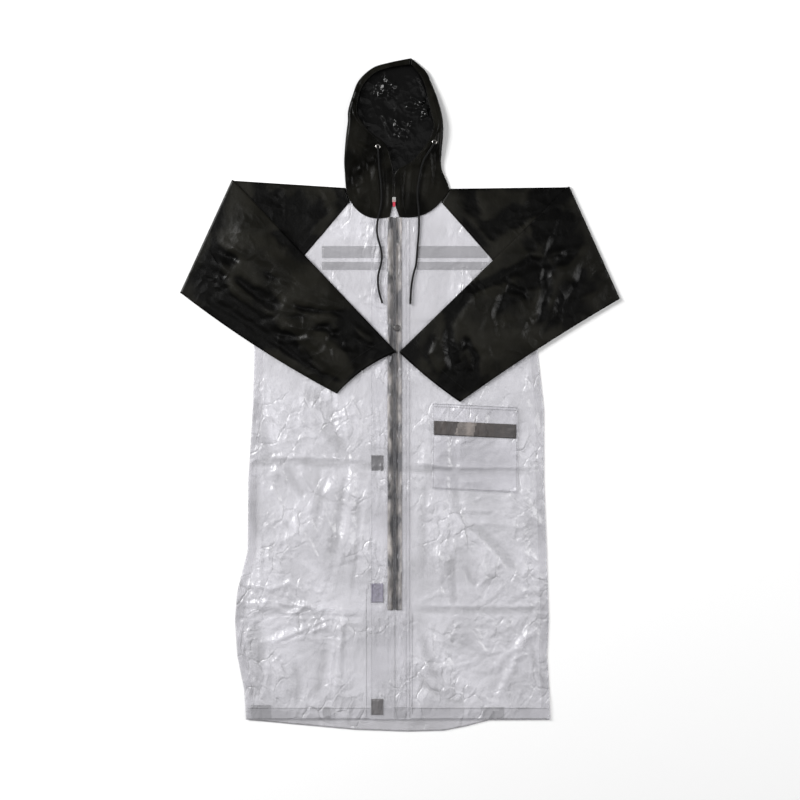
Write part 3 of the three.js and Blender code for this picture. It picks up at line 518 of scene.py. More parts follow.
def above(top):
    """A surface one layer over another."""
    return lambda x, y: top(x, y) + LAYER


def level(height):
    """A surface at one height."""
    return lambda x, y: height + 0 * x


def front_top(x, y):
    """Top of the fronts, with every crease. The pieces on the fronts are laid on this."""
    side = from_side(x, y)
    edge = ease(side / EDGE_SLOPE)
    away = ease(beside_flap(x) / FLAP_SLOPE)
    neck = 1 - ease((y - 250) / 110)
    folds = FILM_RELIEF(x, y)
    puff = FRONT_PUFF * ease(side / SIDE_SLOPE) * neck * away
    body = np.clip(puff + folds * edge * mix(0.12, 1, away), 0.0, 7.0)
    below_sleeves = ease((y + 60) / 40) * (1 - ease((y - 120) / 60))
    body = mix(body, np.clip(body, 0, MAX_PUFF), below_sleeves) + placket_gathers(x, y)
    hem = ease((y - (HEM_Y + HEM_DEPTH + 3)) / 45)
    low = 3 * LAYER + 0.35 * folds.clip(-0.8, 1.5) * edge
    return mix(low, LAYER + body, hem) + WALL


def placket_gathers(x, y):
    """Small slanted gathers of the left front beside the sewn edge of the flap."""
    wave = np.sin((y + 0.9 * x) * 0.34 + 1.9 * np.sin(y * 0.043))
    uneven = 0.6 + 0.4 * np.sin(y * 0.029 + 1)
    return 1.3 * (1 + wave) / 2 * uneven * np.exp(-(((x - 29) / 7) ** 2))


def loose(relief, x, y, most=2.5):
    """How far a loose layer stands off the one below."""
    return np.clip(relief(x, y), -0.1, most) + 0.1


def flap_top(x, y):
    xs = [FLAP_RIGHT, -37, -29, 5, 14, FLAP_LEFT]
    rise = np.interp(x, xs, [LAYER, LAYER, CHAIN_HEIGHT + GAP, CHAIN_HEIGHT + GAP, 0, 0])
    return front_top(x, y) + rise + LAYER + loose(FLAP_RELIEF, x, y) + flap_pucker(x, y)


FLAP_RELIEF = Relief((-70, -745, 30, 420), 2.0)
FLAP_RELIEF.add(scattered(21, 80, (-64, -730, 20, 400), (20, 110), (0.4, 1.1), (3, 6), (70, 110)))
FLAP_RELIEF.add(scattered(22, 90, (-64, -730, 20, 400), (14, 40), (0.4, 1.0), (3, 5), (-30, 30)))
FLAP_RELIEF.add([([(-66, -159), (-20, -163), (22, -168)], 1.2, 6)])
FLAP_RELIEF.crumple(23, 15, 0.4, 90, 2.0)


def flap_pucker(x, y):
    """Small gathers along the sewn edge."""
    wave = np.sin(y * 0.62 + 1.7 * np.sin(y * 0.071)) * (0.6 + 0.4 * np.sin(y * 0.037))
    near = np.exp(-(((x - 12) / 9) ** 2))
    return 0.32 * wave * near


# Making cloth from a grid


def deselect():
    bpy.ops.object.select_all(action="DESELECT")


def only(obj):
    deselect()
    obj.select_set(True)
    bpy.context.view_layer.objects.active = obj


def apply_all(obj):
    only(obj)
    for modifier in list(obj.modifiers):
        bpy.ops.object.modifier_apply(modifier=modifier.name)


def smooth(obj):
    for polygon in obj.data.polygons:
        polygon.use_smooth = True


def cloth(name, place, columns, rows, thick, materials, *nodes, top=(0, 1), tone=None):
    """A piece of cloth: a grid laid where place(u, v) says, with its wall behind that.

    top is the range of u whose faces look up, and tone(x, y) the share of its colour.
    """
    deselect()
    bpy.ops.mesh.primitive_grid_add(x_subdivisions=columns, y_subdivisions=rows, size=2)
    obj = bpy.context.object
    obj.name = name
    obj.data.name = name
    mesh = obj.data
    flat = np.empty(len(mesh.vertices) * 3)
    mesh.vertices.foreach_get("co", flat)
    u, v = (flat.reshape(-1, 3)[:, k] / 2 + 0.5 for k in (0, 1))
    spots = np.stack(place(u, v), -1) / 1000
    mesh.vertices.foreach_set("co", spots.ravel())
    mesh.update()
    corner = np.array([polygon.vertices[0] for polygon in mesh.polygons])
    lean = np.empty(len(mesh.polygons) * 3)
    mesh.polygons.foreach_get("normal", lean)
    judged = (u[corner] >= top[0]) & (u[corner] <= top[1])
    if lean.reshape(-1, 3)[judged, 2].sum() < 0:
        mesh.flip_normals()
    if tone:
        share = tone(spots[:, 0] * 1000, spots[:, 1] * 1000)
        colours = np.stack([share, share, share, np.ones(len(share))], -1)
        mesh.attributes.new("tone", "FLOAT_COLOR", "POINT").data.foreach_set("color", colours.ravel())
    for material in materials:
        mesh.materials.append(material)
    wall = obj.modifiers.new("wall", "SOLIDIFY")
    wall.thickness = thick / 1000
    wall.offset = -1
    wall.use_even_offset = False
    wall.material_offset = len(materials) - 1
    wall.material_offset_rim = 0
    apply_all(obj)
    smooth(obj)
    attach(obj, BODY)
    if nodes:
        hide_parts(*nodes)
    return obj


# Materials


def put(tree, socket, value):
    """Link an input to another node's output, or set it."""
    if isinstance(value, bpy.types.NodeSocket):
        tree.links.new(value, socket)
    else:
        socket.default_value = value


def add_node(tree, kind, *values, **settings):
    """A shader node: settings name its properties and inputs, values fill its first inputs."""
    node = tree.nodes.new("ShaderNode" + kind)
    for key, value in settings.items():
        socket = key.replace("_", " ")
        if socket in node.inputs:
            put(tree, node.inputs[socket], value)
        else:
            setattr(node, key, value)
    for socket, value in zip(node.inputs, values):
        put(tree, socket, value)
    return node


def new_material(name, colour, roughness, **sockets):
    material = bpy.data.materials.new(name)
    material.use_nodes = True
    shader = material.node_tree.nodes["Principled BSDF"]
    shader.inputs["Base Color"].default_value = (*colour, 1)
    shader.inputs["Roughness"].default_value = roughness
    for socket, value in sockets.items():
        shader.inputs[socket.replace("_", " ")].default_value = value
    return material, material.node_tree, shader


def mapped(tree, stretch=(1, 1, 1), turn=0.0):
    """The piece's own coordinates, stretched and turned."""
    own = add_node(tree, "TexCoord").outputs["Object"]
    return add_node(tree, "Mapping", Vector=own, Scale=stretch, Rotation=(0, 0, turn)).outputs["Vector"]


def texture(tree, kind, scale, stretch=(1, 1, 1), turn=0.0, **settings):
    return add_node(tree, kind, Vector=mapped(tree, stretch, turn), Scale=scale, **settings)


def noise(tree, scale, detail, stretch=(1, 1, 1), turn=0.0, dimensions="2D"):
    settings = dict(noise_dimensions=dimensions, Detail=detail)
    return texture(tree, "TexNoise", scale, stretch, turn, **settings).outputs[0]


def wave(tree, scale, way):
    """One set of threads of a weave."""
    return texture(tree, "TexWave", scale, Distortion=0.6, bands_direction=way).outputs["Fac"]


def math_node(tree, operation, a, b):
    return add_node(tree, "Math", a, b, operation=operation).outputs[0]


def bump(tree, shader, height, distance, **below):
    """Relief on a material, on top of the relief below if there is one."""
    relief = add_node(tree, "Bump", Distance=distance, Strength=1.0, Height=height, **below)
    tree.links.new(relief.outputs["Normal"], shader.inputs["Normal"])
    return relief.outputs["Normal"]


def shade(colour, factor):
    return tuple(min(1, c * factor) for c in colour)


def tinted(tree, shader, factor, low, high, dark, light, toned=False):
    """Colour from dark to light, times the tone that the cloth carries if it is toned."""
    blend = add_node(tree, "ValToRGB", factor)
    for element, position, colour in zip(blend.color_ramp.elements, (low, high), (dark, light)):
        element.position = position
        element.color = (*colour, 1)
    tint = blend.outputs["Color"]
    if toned:
        tone = add_node(tree, "Attribute", attribute_name="tone").outputs["Color"]
        both = add_node(tree, "Mix", data_type="RGBA", blend_type="MULTIPLY", Factor=1.0)
        tree.links.new(tint, both.inputs[6])
        tree.links.new(tone, both.inputs[7])
        tint = both.outputs[2]
    tree.links.new(tint, shader.inputs["Base Color"])


def crinkled(tree, shader, scale, distance, edge=0.0, stretch=(1, 1, 1)):
    """Fine crinkles: warped cells, with creased borders if edge is above 0."""
    warp = texture(tree, "TexNoise", scale * 0.4, noise_dimensions="2D", Detail=2.0).outputs["Color"]
    shift = (1.7 / scale,) * 3
    spots = add_node(tree, "VectorMath", warp, shift, mapped(tree, stretch), operation="MULTIPLY_ADD")
    cells = dict(voronoi_dimensions="2D", Vector=spots.outputs[0])
    relief = add_node(tree, "TexVoronoi", Scale=scale, **cells).outputs["Distance"]
    if edge:
        borders = add_node(tree, "TexVoronoi", feature="DISTANCE_TO_EDGE", Scale=scale * 0.6, **cells)
        crease = math_node(tree, "MULTIPLY", borders.outputs[0], 4.0)
        relief = math_node(tree, "ADD", relief, math_node(tree, "MINIMUM", crease, edge))
    share = add_node(tree, "MapRange", noise(tree, 8.0, 1.0), From_Min=0.40, From_Max=0.62, To_Min=0.15)
    height = math_node(tree, "MULTIPLY", relief, share.outputs["Result"])
    broad = bump(tree, shader, height, distance)
    bump(tree, shader, noise(tree, scale * 3.2, 3.0, (1, 0.6, 1), 0.4), distance * 0.22, Normal=broad)


def film_material(name, colour, alpha, toned=False, scale=40.0, depth=0.0044, stretch=(1.25, 0.8, 1)):
    """Milky clear film. Toned film is multiplied by its tone: painted shade, darker in the broad troughs
    where its folds lie against the layer below, and painted light on its ridges.
    """
    shine = dict(IOR=1.5, Specular_IOR_Level=1.0, Coat_Weight=0.8, Coat_Roughness=0.22)
    material, tree, shader = new_material(name, colour, 0.28, Alpha=alpha, **shine)
    crinkled(tree, shader, scale, depth, 0.26, stretch)
    cloudy = noise(tree, 9.0, 3.0)
    tinted(tree, shader, cloudy, 0.35, 0.65, shade(colour, 0.9), shade(colour, 1.08), toned)
    return material


def black_nylon(name, level, dark, light, toned=False):
    base = (0.0035, 0.0034, 0.002)
    material, tree, shader = new_material(name, base, 0.3, IOR=1.5, Specular_IOR_Level=level)
    crinkled(tree, shader, 30.0, 0.0022, 0.0, (1, 1.1, 1))
    sheen = noise(tree, 12.0, 2.0)
    rough = add_node(tree, "MapRange", sheen, To_Min=0.24, To_Max=0.36)
    tree.links.new(rough.outputs["Result"], shader.inputs["Roughness"])
    tinted(tree, shader, sheen, 0.42, 0.60, dark, light, toned)
    return material


def black_coating(name):
    """The coated inside of the hood: shiny and finely crumpled."""
    base = (0.004, 0.004, 0.004)
    material, tree, shader = new_material(name, base, 0.17, IOR=1.5, Specular_IOR_Level=0.14)
    crinkled(tree, shader, 48.0, 0.0012)
    return material


def woven(name, colour, roughness, scale, depth):
    material, tree, shader = new_material(name, colour, roughness, Specular_IOR_Level=0.2)
    height = math_node(tree, "MULTIPLY", wave(tree, scale, "X"), wave(tree, scale, "Y"))
    bump(tree, shader, height, depth)
    tinted(tree, shader, height, 0.1, 0.7, shade(colour, 0.6), shade(colour, 1.25))
    return material


def worn_tape(name, dark, light):
    """Woven tape that the film clings to in some places and not in others."""
    material, tree, shader = new_material(name, dark, 0.75)
    bump(tree, shader, wave(tree, 260.0, "Y"), 0.0003)
    tinted(tree, shader, noise(tree, 30.0, 4.0, (1.3, 0.55, 1)), 0.40, 0.66, dark, light, True)
    return material


def hook_tape(name, colour):
    """Hook-and-loop tape: a dense field of tiny hooks, pressed flat in bands."""
    material, tree, shader = new_material(name, colour, 0.8)
    hooks = texture(tree, "TexVoronoi", 620.0).outputs["Distance"]
    bump(tree, shader, hooks, 0.0008)
    mottled = math_node(tree, "MULTIPLY", hooks, noise(tree, 160.0, 4.0, dimensions="3D"))
    pressed = math_node(tree, "POWER", noise(tree, 34.0, 1.0, (1, 0.04, 1)), 2.5)
    both = math_node(tree, "ADD", mottled, pressed)
    tinted(tree, shader, both, 0.15, 0.62, shade(colour, 0.4), shade(colour, 2.2))
    return material


def worn(name, colour, roughness, scale, depth, **sockets):
    """A hard material with slight wear."""
    material, tree, shader = new_material(name, colour, roughness, **sockets)
    bump(tree, shader, noise(tree, scale, 3.0, dimensions="3D"), depth)
    return material


def metal(name, colour, roughness):
    return worn(name, colour, roughness, 900.0, 0.00005, Metallic=1.0)


def painted(name, colour, roughness):
    return worn(name, colour, roughness, 700.0, 0.00006, Coat_Weight=0.5)


FILM_COLOUR = (0.76, 0.75, 0.80)
film = film_material("clear film", FILM_COLOUR, 0.28)
# The fronts' film takes its tone: painted shade in the broad troughs and painted light on the ridges.
front_film_painted_shade = film_material("front film with painted shade", (0.76, 0.75, 0.795), 0.28, toned=True)
hem_film = film_material("turned film", (0.58, 0.57, 0.60), 0.24)
# Folded film is near black: the extra layers of the folded corners, with painted shade in the folds.
corner_shade_film = film_material("folded film, painted shade", (0.05, 0.05, 0.05), 0.7)
# The sleeves' nylon is painted lighter than the hood's, a painted sheen on its flats, and its tone darkens
# it to painted shade in the troughs.
sleeve_painted_sheen = (0.0060, 0.0057, 0.0043), (0.0110, 0.0104, 0.0080)
painted_sleeve_nylon = black_nylon("black nylon with painted shade and sheen", 0.13, *sleeve_painted_sheen, toned=True)
hood_nylon = black_nylon("black hood nylon", 0.07, (0.0016, 0.0015, 0.0010), (0.0070, 0.0066, 0.0050))
coating = black_coating("black coating")
cord_braid = woven("black braid", (0.008, 0.008, 0.008), 0.6, 320.0, 0.0006)
flap_crinkle = dict(scale=58.0, depth=0.006, stretch=(1.7, 0.45, 1))
flap_film = film_material("flap film", FILM_COLOUR, 0.11, **flap_crinkle)
flap_clear = film_material("flap film on the zip", FILM_COLOUR, 0.035, **flap_crinkle)
zip_weave = worn_tape("zip tape", (0.006, 0.005, 0.004), (0.58, 0.53, 0.49))
tape_grey = hook_tape("grey hook tape", (0.022, 0.0165, 0.013))
tape_worn = hook_tape("worn hook tape", (0.11, 0.095, 0.085))
tape_lilac = hook_tape("pale hook tape", (0.11, 0.10, 0.14))
tape_dark = hook_tape("dark hook tape", (0.014, 0.013, 0.013))
thread = woven("grey thread", (0.018, 0.018, 0.020), 0.7, 500.0, 0.0002)
black_thread = woven("black thread", (0.012, 0.012, 0.012), 0.6, 500.0, 0.0002)
teeth = painted("dark zip coil", (0.004, 0.0035, 0.003), 0.45)
nickel = metal("nickel", (0.7, 0.7, 0.68), 0.24)
dark_nickel = metal("dark nickel", (0.22, 0.21, 0.2), 0.3)
red_enamel = painted("red enamel", (0.5, 0.02, 0.05), 0.3)
snap_plastic = painted("smoky plastic", (0.07, 0.065, 0.065), 0.25)
grey_ink = painted("grey band", (0.012, 0.012, 0.0125), 0.5)


# Camera

PIXEL = 2.27  # millimetres of the coat to one pixel of the photo
PHOTO_SIZE = 800
BELOW_MIDDLE = -5
LENS, SENSOR = 85, 36
camera_data = bpy.data.cameras.new("camera")
camera_data.lens = LENS
camera_data.sensor_width = SENSOR
camera = bpy.data.objects.new("camera", camera_data)
bpy.context.collection.objects.link(camera)
camera.location = (0, BELOW_MIDDLE * PIXEL / 1000, PHOTO_SIZE * PIXEL / 1000 * LENS / SENSOR)
camera_data.clip_end = 60
bpy.context.scene.camera = camera


# Hood surfaces, needed by the cords


HOOD_TURN = 0.32  # share of the cloth that turns over at the outer edge


def hood_table(key, t):
    """The hood's sections at shares t of its height, smoothed."""
    rows = np.array(HOOD_ROWS[key], float)
    last = len(rows) - 1
    at = np.clip(t, 0, 1) * last
    k = np.minimum(at.astype(int), last - 1)
    f = (at - k)[:, None]
    row = spline(*(rows[np.clip(k + n, 0, last)] for n in (-1, 0, 1, 2)), f)
    bound, middle = (np.minimum, -2.4) if key == "right" else (np.maximum, -1.6)
    row[:, 2] = np.where(row[:, 3] < THROAT_TOP, bound(row[:, 2], CENTRE_X + middle), row[:, 2])
    return row


def hood_foot_spread(key, v):
    """How much wider the foot of the hood is where it meets a sleeve."""
    if key == "right":
        return np.interp(v, [0, 0.09, 0.15], [-2.1, -1.7, 0])
    return np.interp(v, [0, 0.08, 0.17], [2.8, 8.4, 0])


def hood_place(key):
    """Outer face of one side of the hood: u from the outer edge to the rim, v from neck to peak."""
    foot = HALF + LAYER
    seed = 31 if key == "right" else 32
    pick = scattered(seed, 26, (-125, 430, 100, 700), (24, 70), (0.6, 1.8), (5, 10))
    relief = Relief((-135, 395, 110, 775), 2.0).add(HOOD_CREASES, 0.8).add(pick, 0.7)
    relief.crumple(seed + 2, 22, 1.3, 80, 2.0)

    def place(u, v):
        row = hood_table(key, v)
        outer, rim, rise, bow = row[:, 0:2], row[:, 2:4], row[:, 4], row[:, 5]
        outer = outer + np.stack([hood_foot_spread(key, v), 0 * v], -1)
        length = np.hypot(*(rim - outer).T)
        radius = (rise - foot) / 2
        angle = np.pi * np.clip(u / HOOD_TURN, 0, 1)
        turning = u < HOOD_TURN
        back = radius * (1 - np.sin(angle)) + HALF
        flank = np.clip((u - HOOD_TURN) / (1 - HOOD_TURN), 0, 1)
        start = np.clip((radius + HALF) / length, 0, 1)
        share = np.where(turning, np.clip(back / length, 0, 1), mix(start, 1, flank))
        spot = bowed(outer, rim, share, bow)
        z = np.where(turning, foot + radius * (1 - np.cos(angle)), rise)
        lean = np.where(turning, -np.cos(angle), 1.0)
        x, y = spot[:, 0], spot[:, 1]
        free = ease(u / HOOD_TURN - 0.6) * ease(v * 14) * ease((1 - v) * 10)
        folds = relief(x, y)
        from_rim = np.hypot(rim[:, 0] - x, rim[:, 1] - y)
        casing = 0.7 * ease((15 - from_rim) / 3) * ease((v - 0.25) * 12)
        return x, y, z + HALF * lean + free * (folds.clip(-2.6, 3.6) * 0.8 + casing)

    return place


def height_map(points):
    """Highest point of some samples in each cell of a plan, as a lookup."""
    step = 2.0
    x, y, z = points
    low = np.array([x.min(), y.min()]) - 3 * step
    size = ((np.array([x.max(), y.max()]) - low) / step + 4).astype(int)
    table = np.full(tuple(size), -1e3)
    np.maximum.at(table, (((x - low[0]) / step).astype(int), ((y - low[1]) / step).astype(int)), z)

    def look(px, py, reach):
        span = math.ceil(reach / step)
        i, j = int((px - low[0]) / step), int((py - low[1]) / step)
        near = table[max(i - span, 0) : max(i + span + 1, 0), max(j - span, 0) : max(j + span + 1, 0)]
        return near.max(initial=-1e3)

    return look


HOOD_PLACES = {key: hood_place(key) for key in SIDES}
dense_u, dense_v = (g.ravel() for g in np.meshgrid(np.linspace(0.3, 1, 160), np.linspace(0, 1, 420)))
HOOD_TOPS = {key: height_map(HOOD_PLACES[key](dense_u, dense_v)) for key in SIDES}


def cord_rest(key, x, y):
    """Height of what the cord lies on."""
    reach = CORD_DIAMETER / 2
    tops = [HOOD_TOPS[key](x, y, reach)]
    if y < neck_y(x) + 4:
        ring = np.array([(0, 0), (reach, 0), (-reach, 0), (0, reach), (0, -reach)])
        px, py = x + ring[:, 0], y + ring[:, 1]
        tops.append(front_top(px, py).max())
        on_flap = (px > FLAP_RIGHT) & (px < FLAP_LEFT)
        if on_flap.any():
            tops.append(flap_top(px[on_flap], py[on_flap]).max())
    ex, ey = CORDS[key][0]
    if math.hypot(x - ex, y - ey) < EYELET_RADIUS + reach:
        tops.append(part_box(f"eyelet_{key}")[1][2] * 1000)
    return max(tops)


def smooth_way(points, step):
    """A smooth line through points, as spots about step apart."""
    points = np.array(points, float)
    ahead = np.vstack([2 * points[0] - points[1], points, 2 * points[-1] - points[-2]])
    shares = np.linspace(0, 1, 12, endpoint=False)
    fine = [spline(*ahead[k : k + 4], f) for k in range(len(points) - 1) for f in shares]
    fine = np.array(fine + [points[-1]])
    gone = distances(fine)
    count = max(2, int(round(gone[-1] / step)))
    return points_at(fine, gone, np.linspace(0, gone[-1], count + 1))


def tube(name, points, radius, material):
    """A round cord along points, as a curve turned into a mesh."""
    data = bpy.data.curves.new(name, "CURVE")
    data.dimensions = "3D"
    data.bevel_depth = radius
    data.bevel_resolution = 3
    data.use_fill_caps = True
    spline = data.splines.new("POLY")
    spline.points.add(len(points) - 1)
    for point, co in zip(spline.points, points):
        point.co = (*co, 1)
    obj = bpy.data.objects.new(name, data)
    bpy.context.collection.objects.link(obj)
    only(obj)
    bpy.ops.object.convert(target="MESH")
    obj = bpy.context.object
    obj.data.materials.append(material)
    smooth(obj)
    return obj


def with_neighbours(values, join):
    """Each value joined with the ones beside it."""
    wide = np.pad(values, 1, mode="edge")
    return join([wide[:-2], wide[1:-1], wide[2:]], axis=0)


for key in SIDES:
    plan = smooth_way(CORDS[key], 6.5)
    tops = np.array([cord_rest(key, x, y) for x, y in plan])
    rest = with_neighbours(with_neighbours(tops, np.max), np.mean)
    route = np.column_stack([plan, rest + CORD_DIAMETER / 2 + 0.05]) / 1000
    path = [tuple(float(c) for c in point) for point in route]
    drawstring = tube(f"cord_{key}", path, CORD_DIAMETER / 2000, cord_braid)
    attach(drawstring, BODY)
    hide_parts(f"drawstring_{key}")


# Body of film


def front_place(key):
    """One front: u from the centre out to the side, v from the hem up to the neck."""
    centre = CENTRE_X + SLEEVES[key]["sign"] * GAP / 2

    def place(u, v):
        top_side = SLEEVES[key]["seam"][0][1] - 2
        y_side = mix(HEM_Y, top_side, v)
        x = mix(centre, side_x(key, y_side), u)
        tuck = SEAM_TUCK * ease((1 - u) * 1.6)
        tab = 28 * ease((0.14 - u) / 0.08)
        y_top = np.where(u > 0.999, top_side, neck_y(x) - GAP + np.maximum(tuck, tab))
        y = mix(HEM_Y, y_top, v)
        y = mix(y, y_side, ease((u - 0.86) / 0.14))
        return x, y, front_top(x, y)

    return place


def back_place(u, v):
    """The back panel: u across, v from its longer hem up to the neck."""
    y_side = mix(HEM_Y - 1, BACK_NECK_Y - 2, v)
    on_body = np.clip(y_side, HEM_Y, 448)
    x = mix(side_x("right", on_body), side_x("left", on_body), u)
    hem = np.interp(x, BACK_HEM["x"], BACK_HEM["y"])
    y = mix(hem, BACK_NECK_Y, v)
    return x, y, BACK_FACE + np.clip(0.2 + 0.2 * BACK_RELIEF(x, y), 0, 0.45)


BACK_RELIEF = Relief((-385, -775, 350, 460), 3.0)
BACK_RELIEF.add(scattered(41, 160, (-360, -740, 335, 440), (40, 200), (0.6, 2.0), (6, 16)))

BROAD_FOLDS = Relief(FILM_BOX, 3.0).add([row for row in FILM_FOLDS if row[2] > 8])


def film_painted_shade(x, y):
    """Painted shade in the broad troughs, where the film also touches the back, and painted light on the
    ridges.
    """
    folds = BROAD_FOLDS(x, y)
    trough = ease(-folds / 2.4)
    return 1 - 0.30 * trough + 0.10 * ease(folds / 2.4)


back = cloth("back_panel_film", back_place, 100, 180, FILM, [film], "back_panel")

for key, width, area in (("right", 0.363, 0.3606), ("left", 0.353, 0.3659)):
    place = front_place(key)
    front = cloth(f"front_{key}_film", place, 104, 350, FILM, [front_film_painted_shade], f"front_{key}", tone=film_painted_shade)


def hem_place(key):
    sign = SLEEVES[key]["sign"]

    def place(u, v):
        y = mix(HEM_Y + GAP, HEM_Y + HEM_DEPTH, v)
        x = mix(CENTRE_X + sign * GAP, side_x(key, y) - sign * 2.5, u)
        ripple = 0.125 * np.sin(x * 0.21 + 2 * np.sin(x * 0.033)) * np.sin(np.pi * v)
        return x, y, 2 * LAYER + WALL - 0.1 + ripple

    return place


for key in SIDES:
    hem = cloth(f"front_{key}_hem_film", hem_place(key), 90, 7, FILM, [hem_film], f"front_hem_{key}")


def back_hem_place(u, v):
    x = mix(-344, 336, u)
    low = np.interp(x, BACK_HEM["x"], BACK_HEM["y"]) + GAP
    return x, low + HEM_DEPTH * v, LAYER + WALL - 0.2 + 0.1 * np.sin(x * 0.17)


hem = cloth("back_hem_film", back_hem_place, 170, 7, FILM, [hem_film], "back_hem")


def flap_place(u, v):
    x = mix(FLAP_RIGHT, FLAP_LEFT, u)
    y = mix(HEM_Y + GAP, neck_y(x) - GAP, v)
    return x, y, flap_top(x, y)


def lies_on_zip(x, y):
    wander = 1.6 * math.sin(y * 0.09) + 1.2 * math.sin(y * 0.23 + 1)
    return -22.5 + wander < x < -4.5 + wander / 2


def second_material(obj, material, where):
    """Give the faces picked by where(x, y) a material of their own."""
    obj.data.materials.append(material)
    for polygon in obj.data.polygons:
        if where(polygon.center.x * 1000, polygon.center.y * 1000):
            polygon.material_index = 1


flap = cloth("storm_flap_film", flap_place, 36, 440, FILM, [flap_film], "storm_flap")
second_material(flap, flap_clear, lies_on_zip)


# Pocket


def pocket_line(y, x):
    return y + POCKET["lean"] * (x - POCKET["right"]) / (POCKET["left"] - POCKET["right"])


def pocket_place(top, bottom, inset, lift):
    def place(u, v):
        x = mix(POCKET["right"] + inset, POCKET["left"] - inset, u)
        y = mix(pocket_line(bottom, x), pocket_line(top, x), v)
        return x, y, lift(x, y)

    return place


BAG_RELIEF = Relief((70, -230, 270, -10), 2.0)
BAG_RELIEF.add(scattered(51, 34, (75, -215, 265, -20), (20, 90), (0.4, 1.2), (3, 7)))
BAG_RELIEF.crumple(53, 20, 0.5, 20, 1.5)
POCKET_FLAP_RELIEF = Relief((70, -110, 270, -10), 2.0)
POCKET_FLAP_RELIEF.add(scattered(52, 18, (75, -95, 265, -20), (20, 80), (0.4, 1.0), (3, 6), (-20, 20)))


def bag_top(x, y):
    return front_top(x, y) + LAYER + loose(BAG_RELIEF, x, y)


def pocket_flap_top(x, y):
    over_tape = np.clip((pocket_line(POCKET_TAPE["top"], x) + 14 - y) / 12, 0, 1)
    return bag_top(x, y) + LAYER * (1 + over_tape) + loose(POCKET_FLAP_RELIEF, x, y, 2)


def is_worn(x, y):
    """Where the pocket's tape is rubbed light."""
    return 124 < x - 0.3 * (y + 90) < 166


bag_place = pocket_place(POCKET["top"], POCKET["bottom"], 0, bag_top)
tape_place = pocket_place(POCKET_TAPE["top"], POCKET_TAPE["bottom"], 4, above(bag_top))
flap_foot = POCKET["top"] - POCKET["flap_depth"]
over_place = pocket_place(POCKET["top"] + 2, flap_foot, -1, pocket_flap_top)
bag = cloth("pocket_bag_film", bag_place, 56, 58, FILM, [film], "pocket_bag")
tape = cloth("pocket_hook_tape", tape_place, 56, 9, WALL, [tape_grey], "pocket_tape")
second_material(tape, tape_worn, is_worn)
pocket_flap = cloth("pocket_flap_film", over_place, 56, 24, FILM, [flap_clear], "pocket_flap")


# Zip under the flap


def flat_strip(x0, x1, y0, y1, top):
    """A strip in x and y whose upper face is at top(x, y)."""

    def place(u, v):
        x, y = mix(x0, x1, u), mix(y0, y1, v)
        return x, y, top(x, y)

    return place


def zip_end(node):
    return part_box(node)[1][1] * 1000


def zip_tone(x, y):
    """The tapes look darkest beside the coil, under the patch and at their top."""
    core = 0.26 + 0.74 * ease((np.abs(x + 12 - 2 * np.sin(y * 0.05)) - 6) / 8)
    patch = 1 - 0.85 * np.exp(-(((y + 150) / 24) ** 2))
    top = 1 - 0.6 * np.exp(-(((y - 195) / 26) ** 2)) - 0.5 * np.exp(-(((y - 60) / 26) ** 2))
    return core * patch * top


for key, x0, x1 in (("right", -28, -15), ("left", -9, 4)):
    node = f"zip_tape_{key}"
    strip = flat_strip(x0, x1, ZIP_END_Y, zip_end(node), above(front_top))
    zip_cloth = cloth(f"{node}_cloth", strip, 8, 300, 0.8, [zip_weave], node, tone=zip_tone)


def bevelled_bar(length, width, height, edge):
    """The points and faces of one small bar with rounded edges."""
    deselect()
    bpy.ops.mesh.primitive_cube_add(size=1)
    bar = bpy.context.object
    bar.scale = (length, width, height)
    bpy.ops.object.transform_apply(scale=True)
    bpy.ops.object.mode_set(mode="EDIT")
    bpy.ops.mesh.select_all(action="SELECT")
    bpy.ops.mesh.bevel(offset=edge, segments=1)
    bpy.ops.object.mode_set(mode="OBJECT")
    points = np.array([v.co[:] for v in bar.data.vertices])
    faces = [list(p.vertices) for p in bar.data.polygons]
    bpy.data.objects.remove(bar, do_unlink=True)
    return points, faces


def many(name, shape, spots, ways, material):
    """One mesh of many copies of a small shape, each at a spot and along a way."""
    points, faces = shape
    ways = ways / np.linalg.norm(ways, axis=1)[:, None]
    across = np.cross((0, 0, 1), ways)
    across /= np.linalg.norm(across, axis=1)[:, None]
    up = np.cross(ways, across)
    corners = (
        spots[:, None]
        + points[None, :, 0:1] * ways[:, None]
        + points[None, :, 1:2] * across[:, None]
        + points[None, :, 2:3] * up[:, None]
    ) / 1000
    count = len(points)
    all_faces = [[c + k * count for c in face] for k in range(len(spots)) for face in faces]
    mesh = bpy.data.meshes.new(name)
    mesh.from_pydata(corners.reshape(-1, 3).tolist(), [], all_faces)
    mesh.update()
    mesh.materials.append(material)
    obj = bpy.data.objects.new(name, mesh)
    bpy.context.collection.objects.link(obj)
    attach(obj, BODY)
    return obj


def lathe(name, profile, centre, material):
    """A turned piece: rings of (radius, height) about an upright axis."""
    deselect()
    bpy.ops.mesh.primitive_circle_add(vertices=40, radius=profile[0][0] / 1000, fill_type="NGON")
    obj = bpy.context.object
    obj.name = name
    bpy.ops.object.mode_set(mode="EDIT")
    bpy.ops.mesh.select_all(action="SELECT")
    for (r0, z0), (r1, z1) in zip(profile, profile[1:]):
        bpy.ops.mesh.extrude_region_move(TRANSFORM_OT_translate={"value": (0, 0, (z1 - z0) / 1000)})
        bpy.ops.transform.resize(value=(r1 / r0, r1 / r0, 1), center_override=(0, 0, z1 / 1000))
    bpy.ops.mesh.select_all(action="SELECT")
    bpy.ops.mesh.normals_make_consistent(inside=False)
    bpy.ops.object.mode_set(mode="OBJECT")
    shift = np.array(centre) / 1000
    for vertex in obj.data.vertices:
        vertex.co = vertex.co + Vector(shift)
    obj.data.materials.append(material)
    only(obj)
    bpy.ops.object.shade_smooth_by_angle(angle=math.radians(40))
    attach(obj, BODY)
    return obj


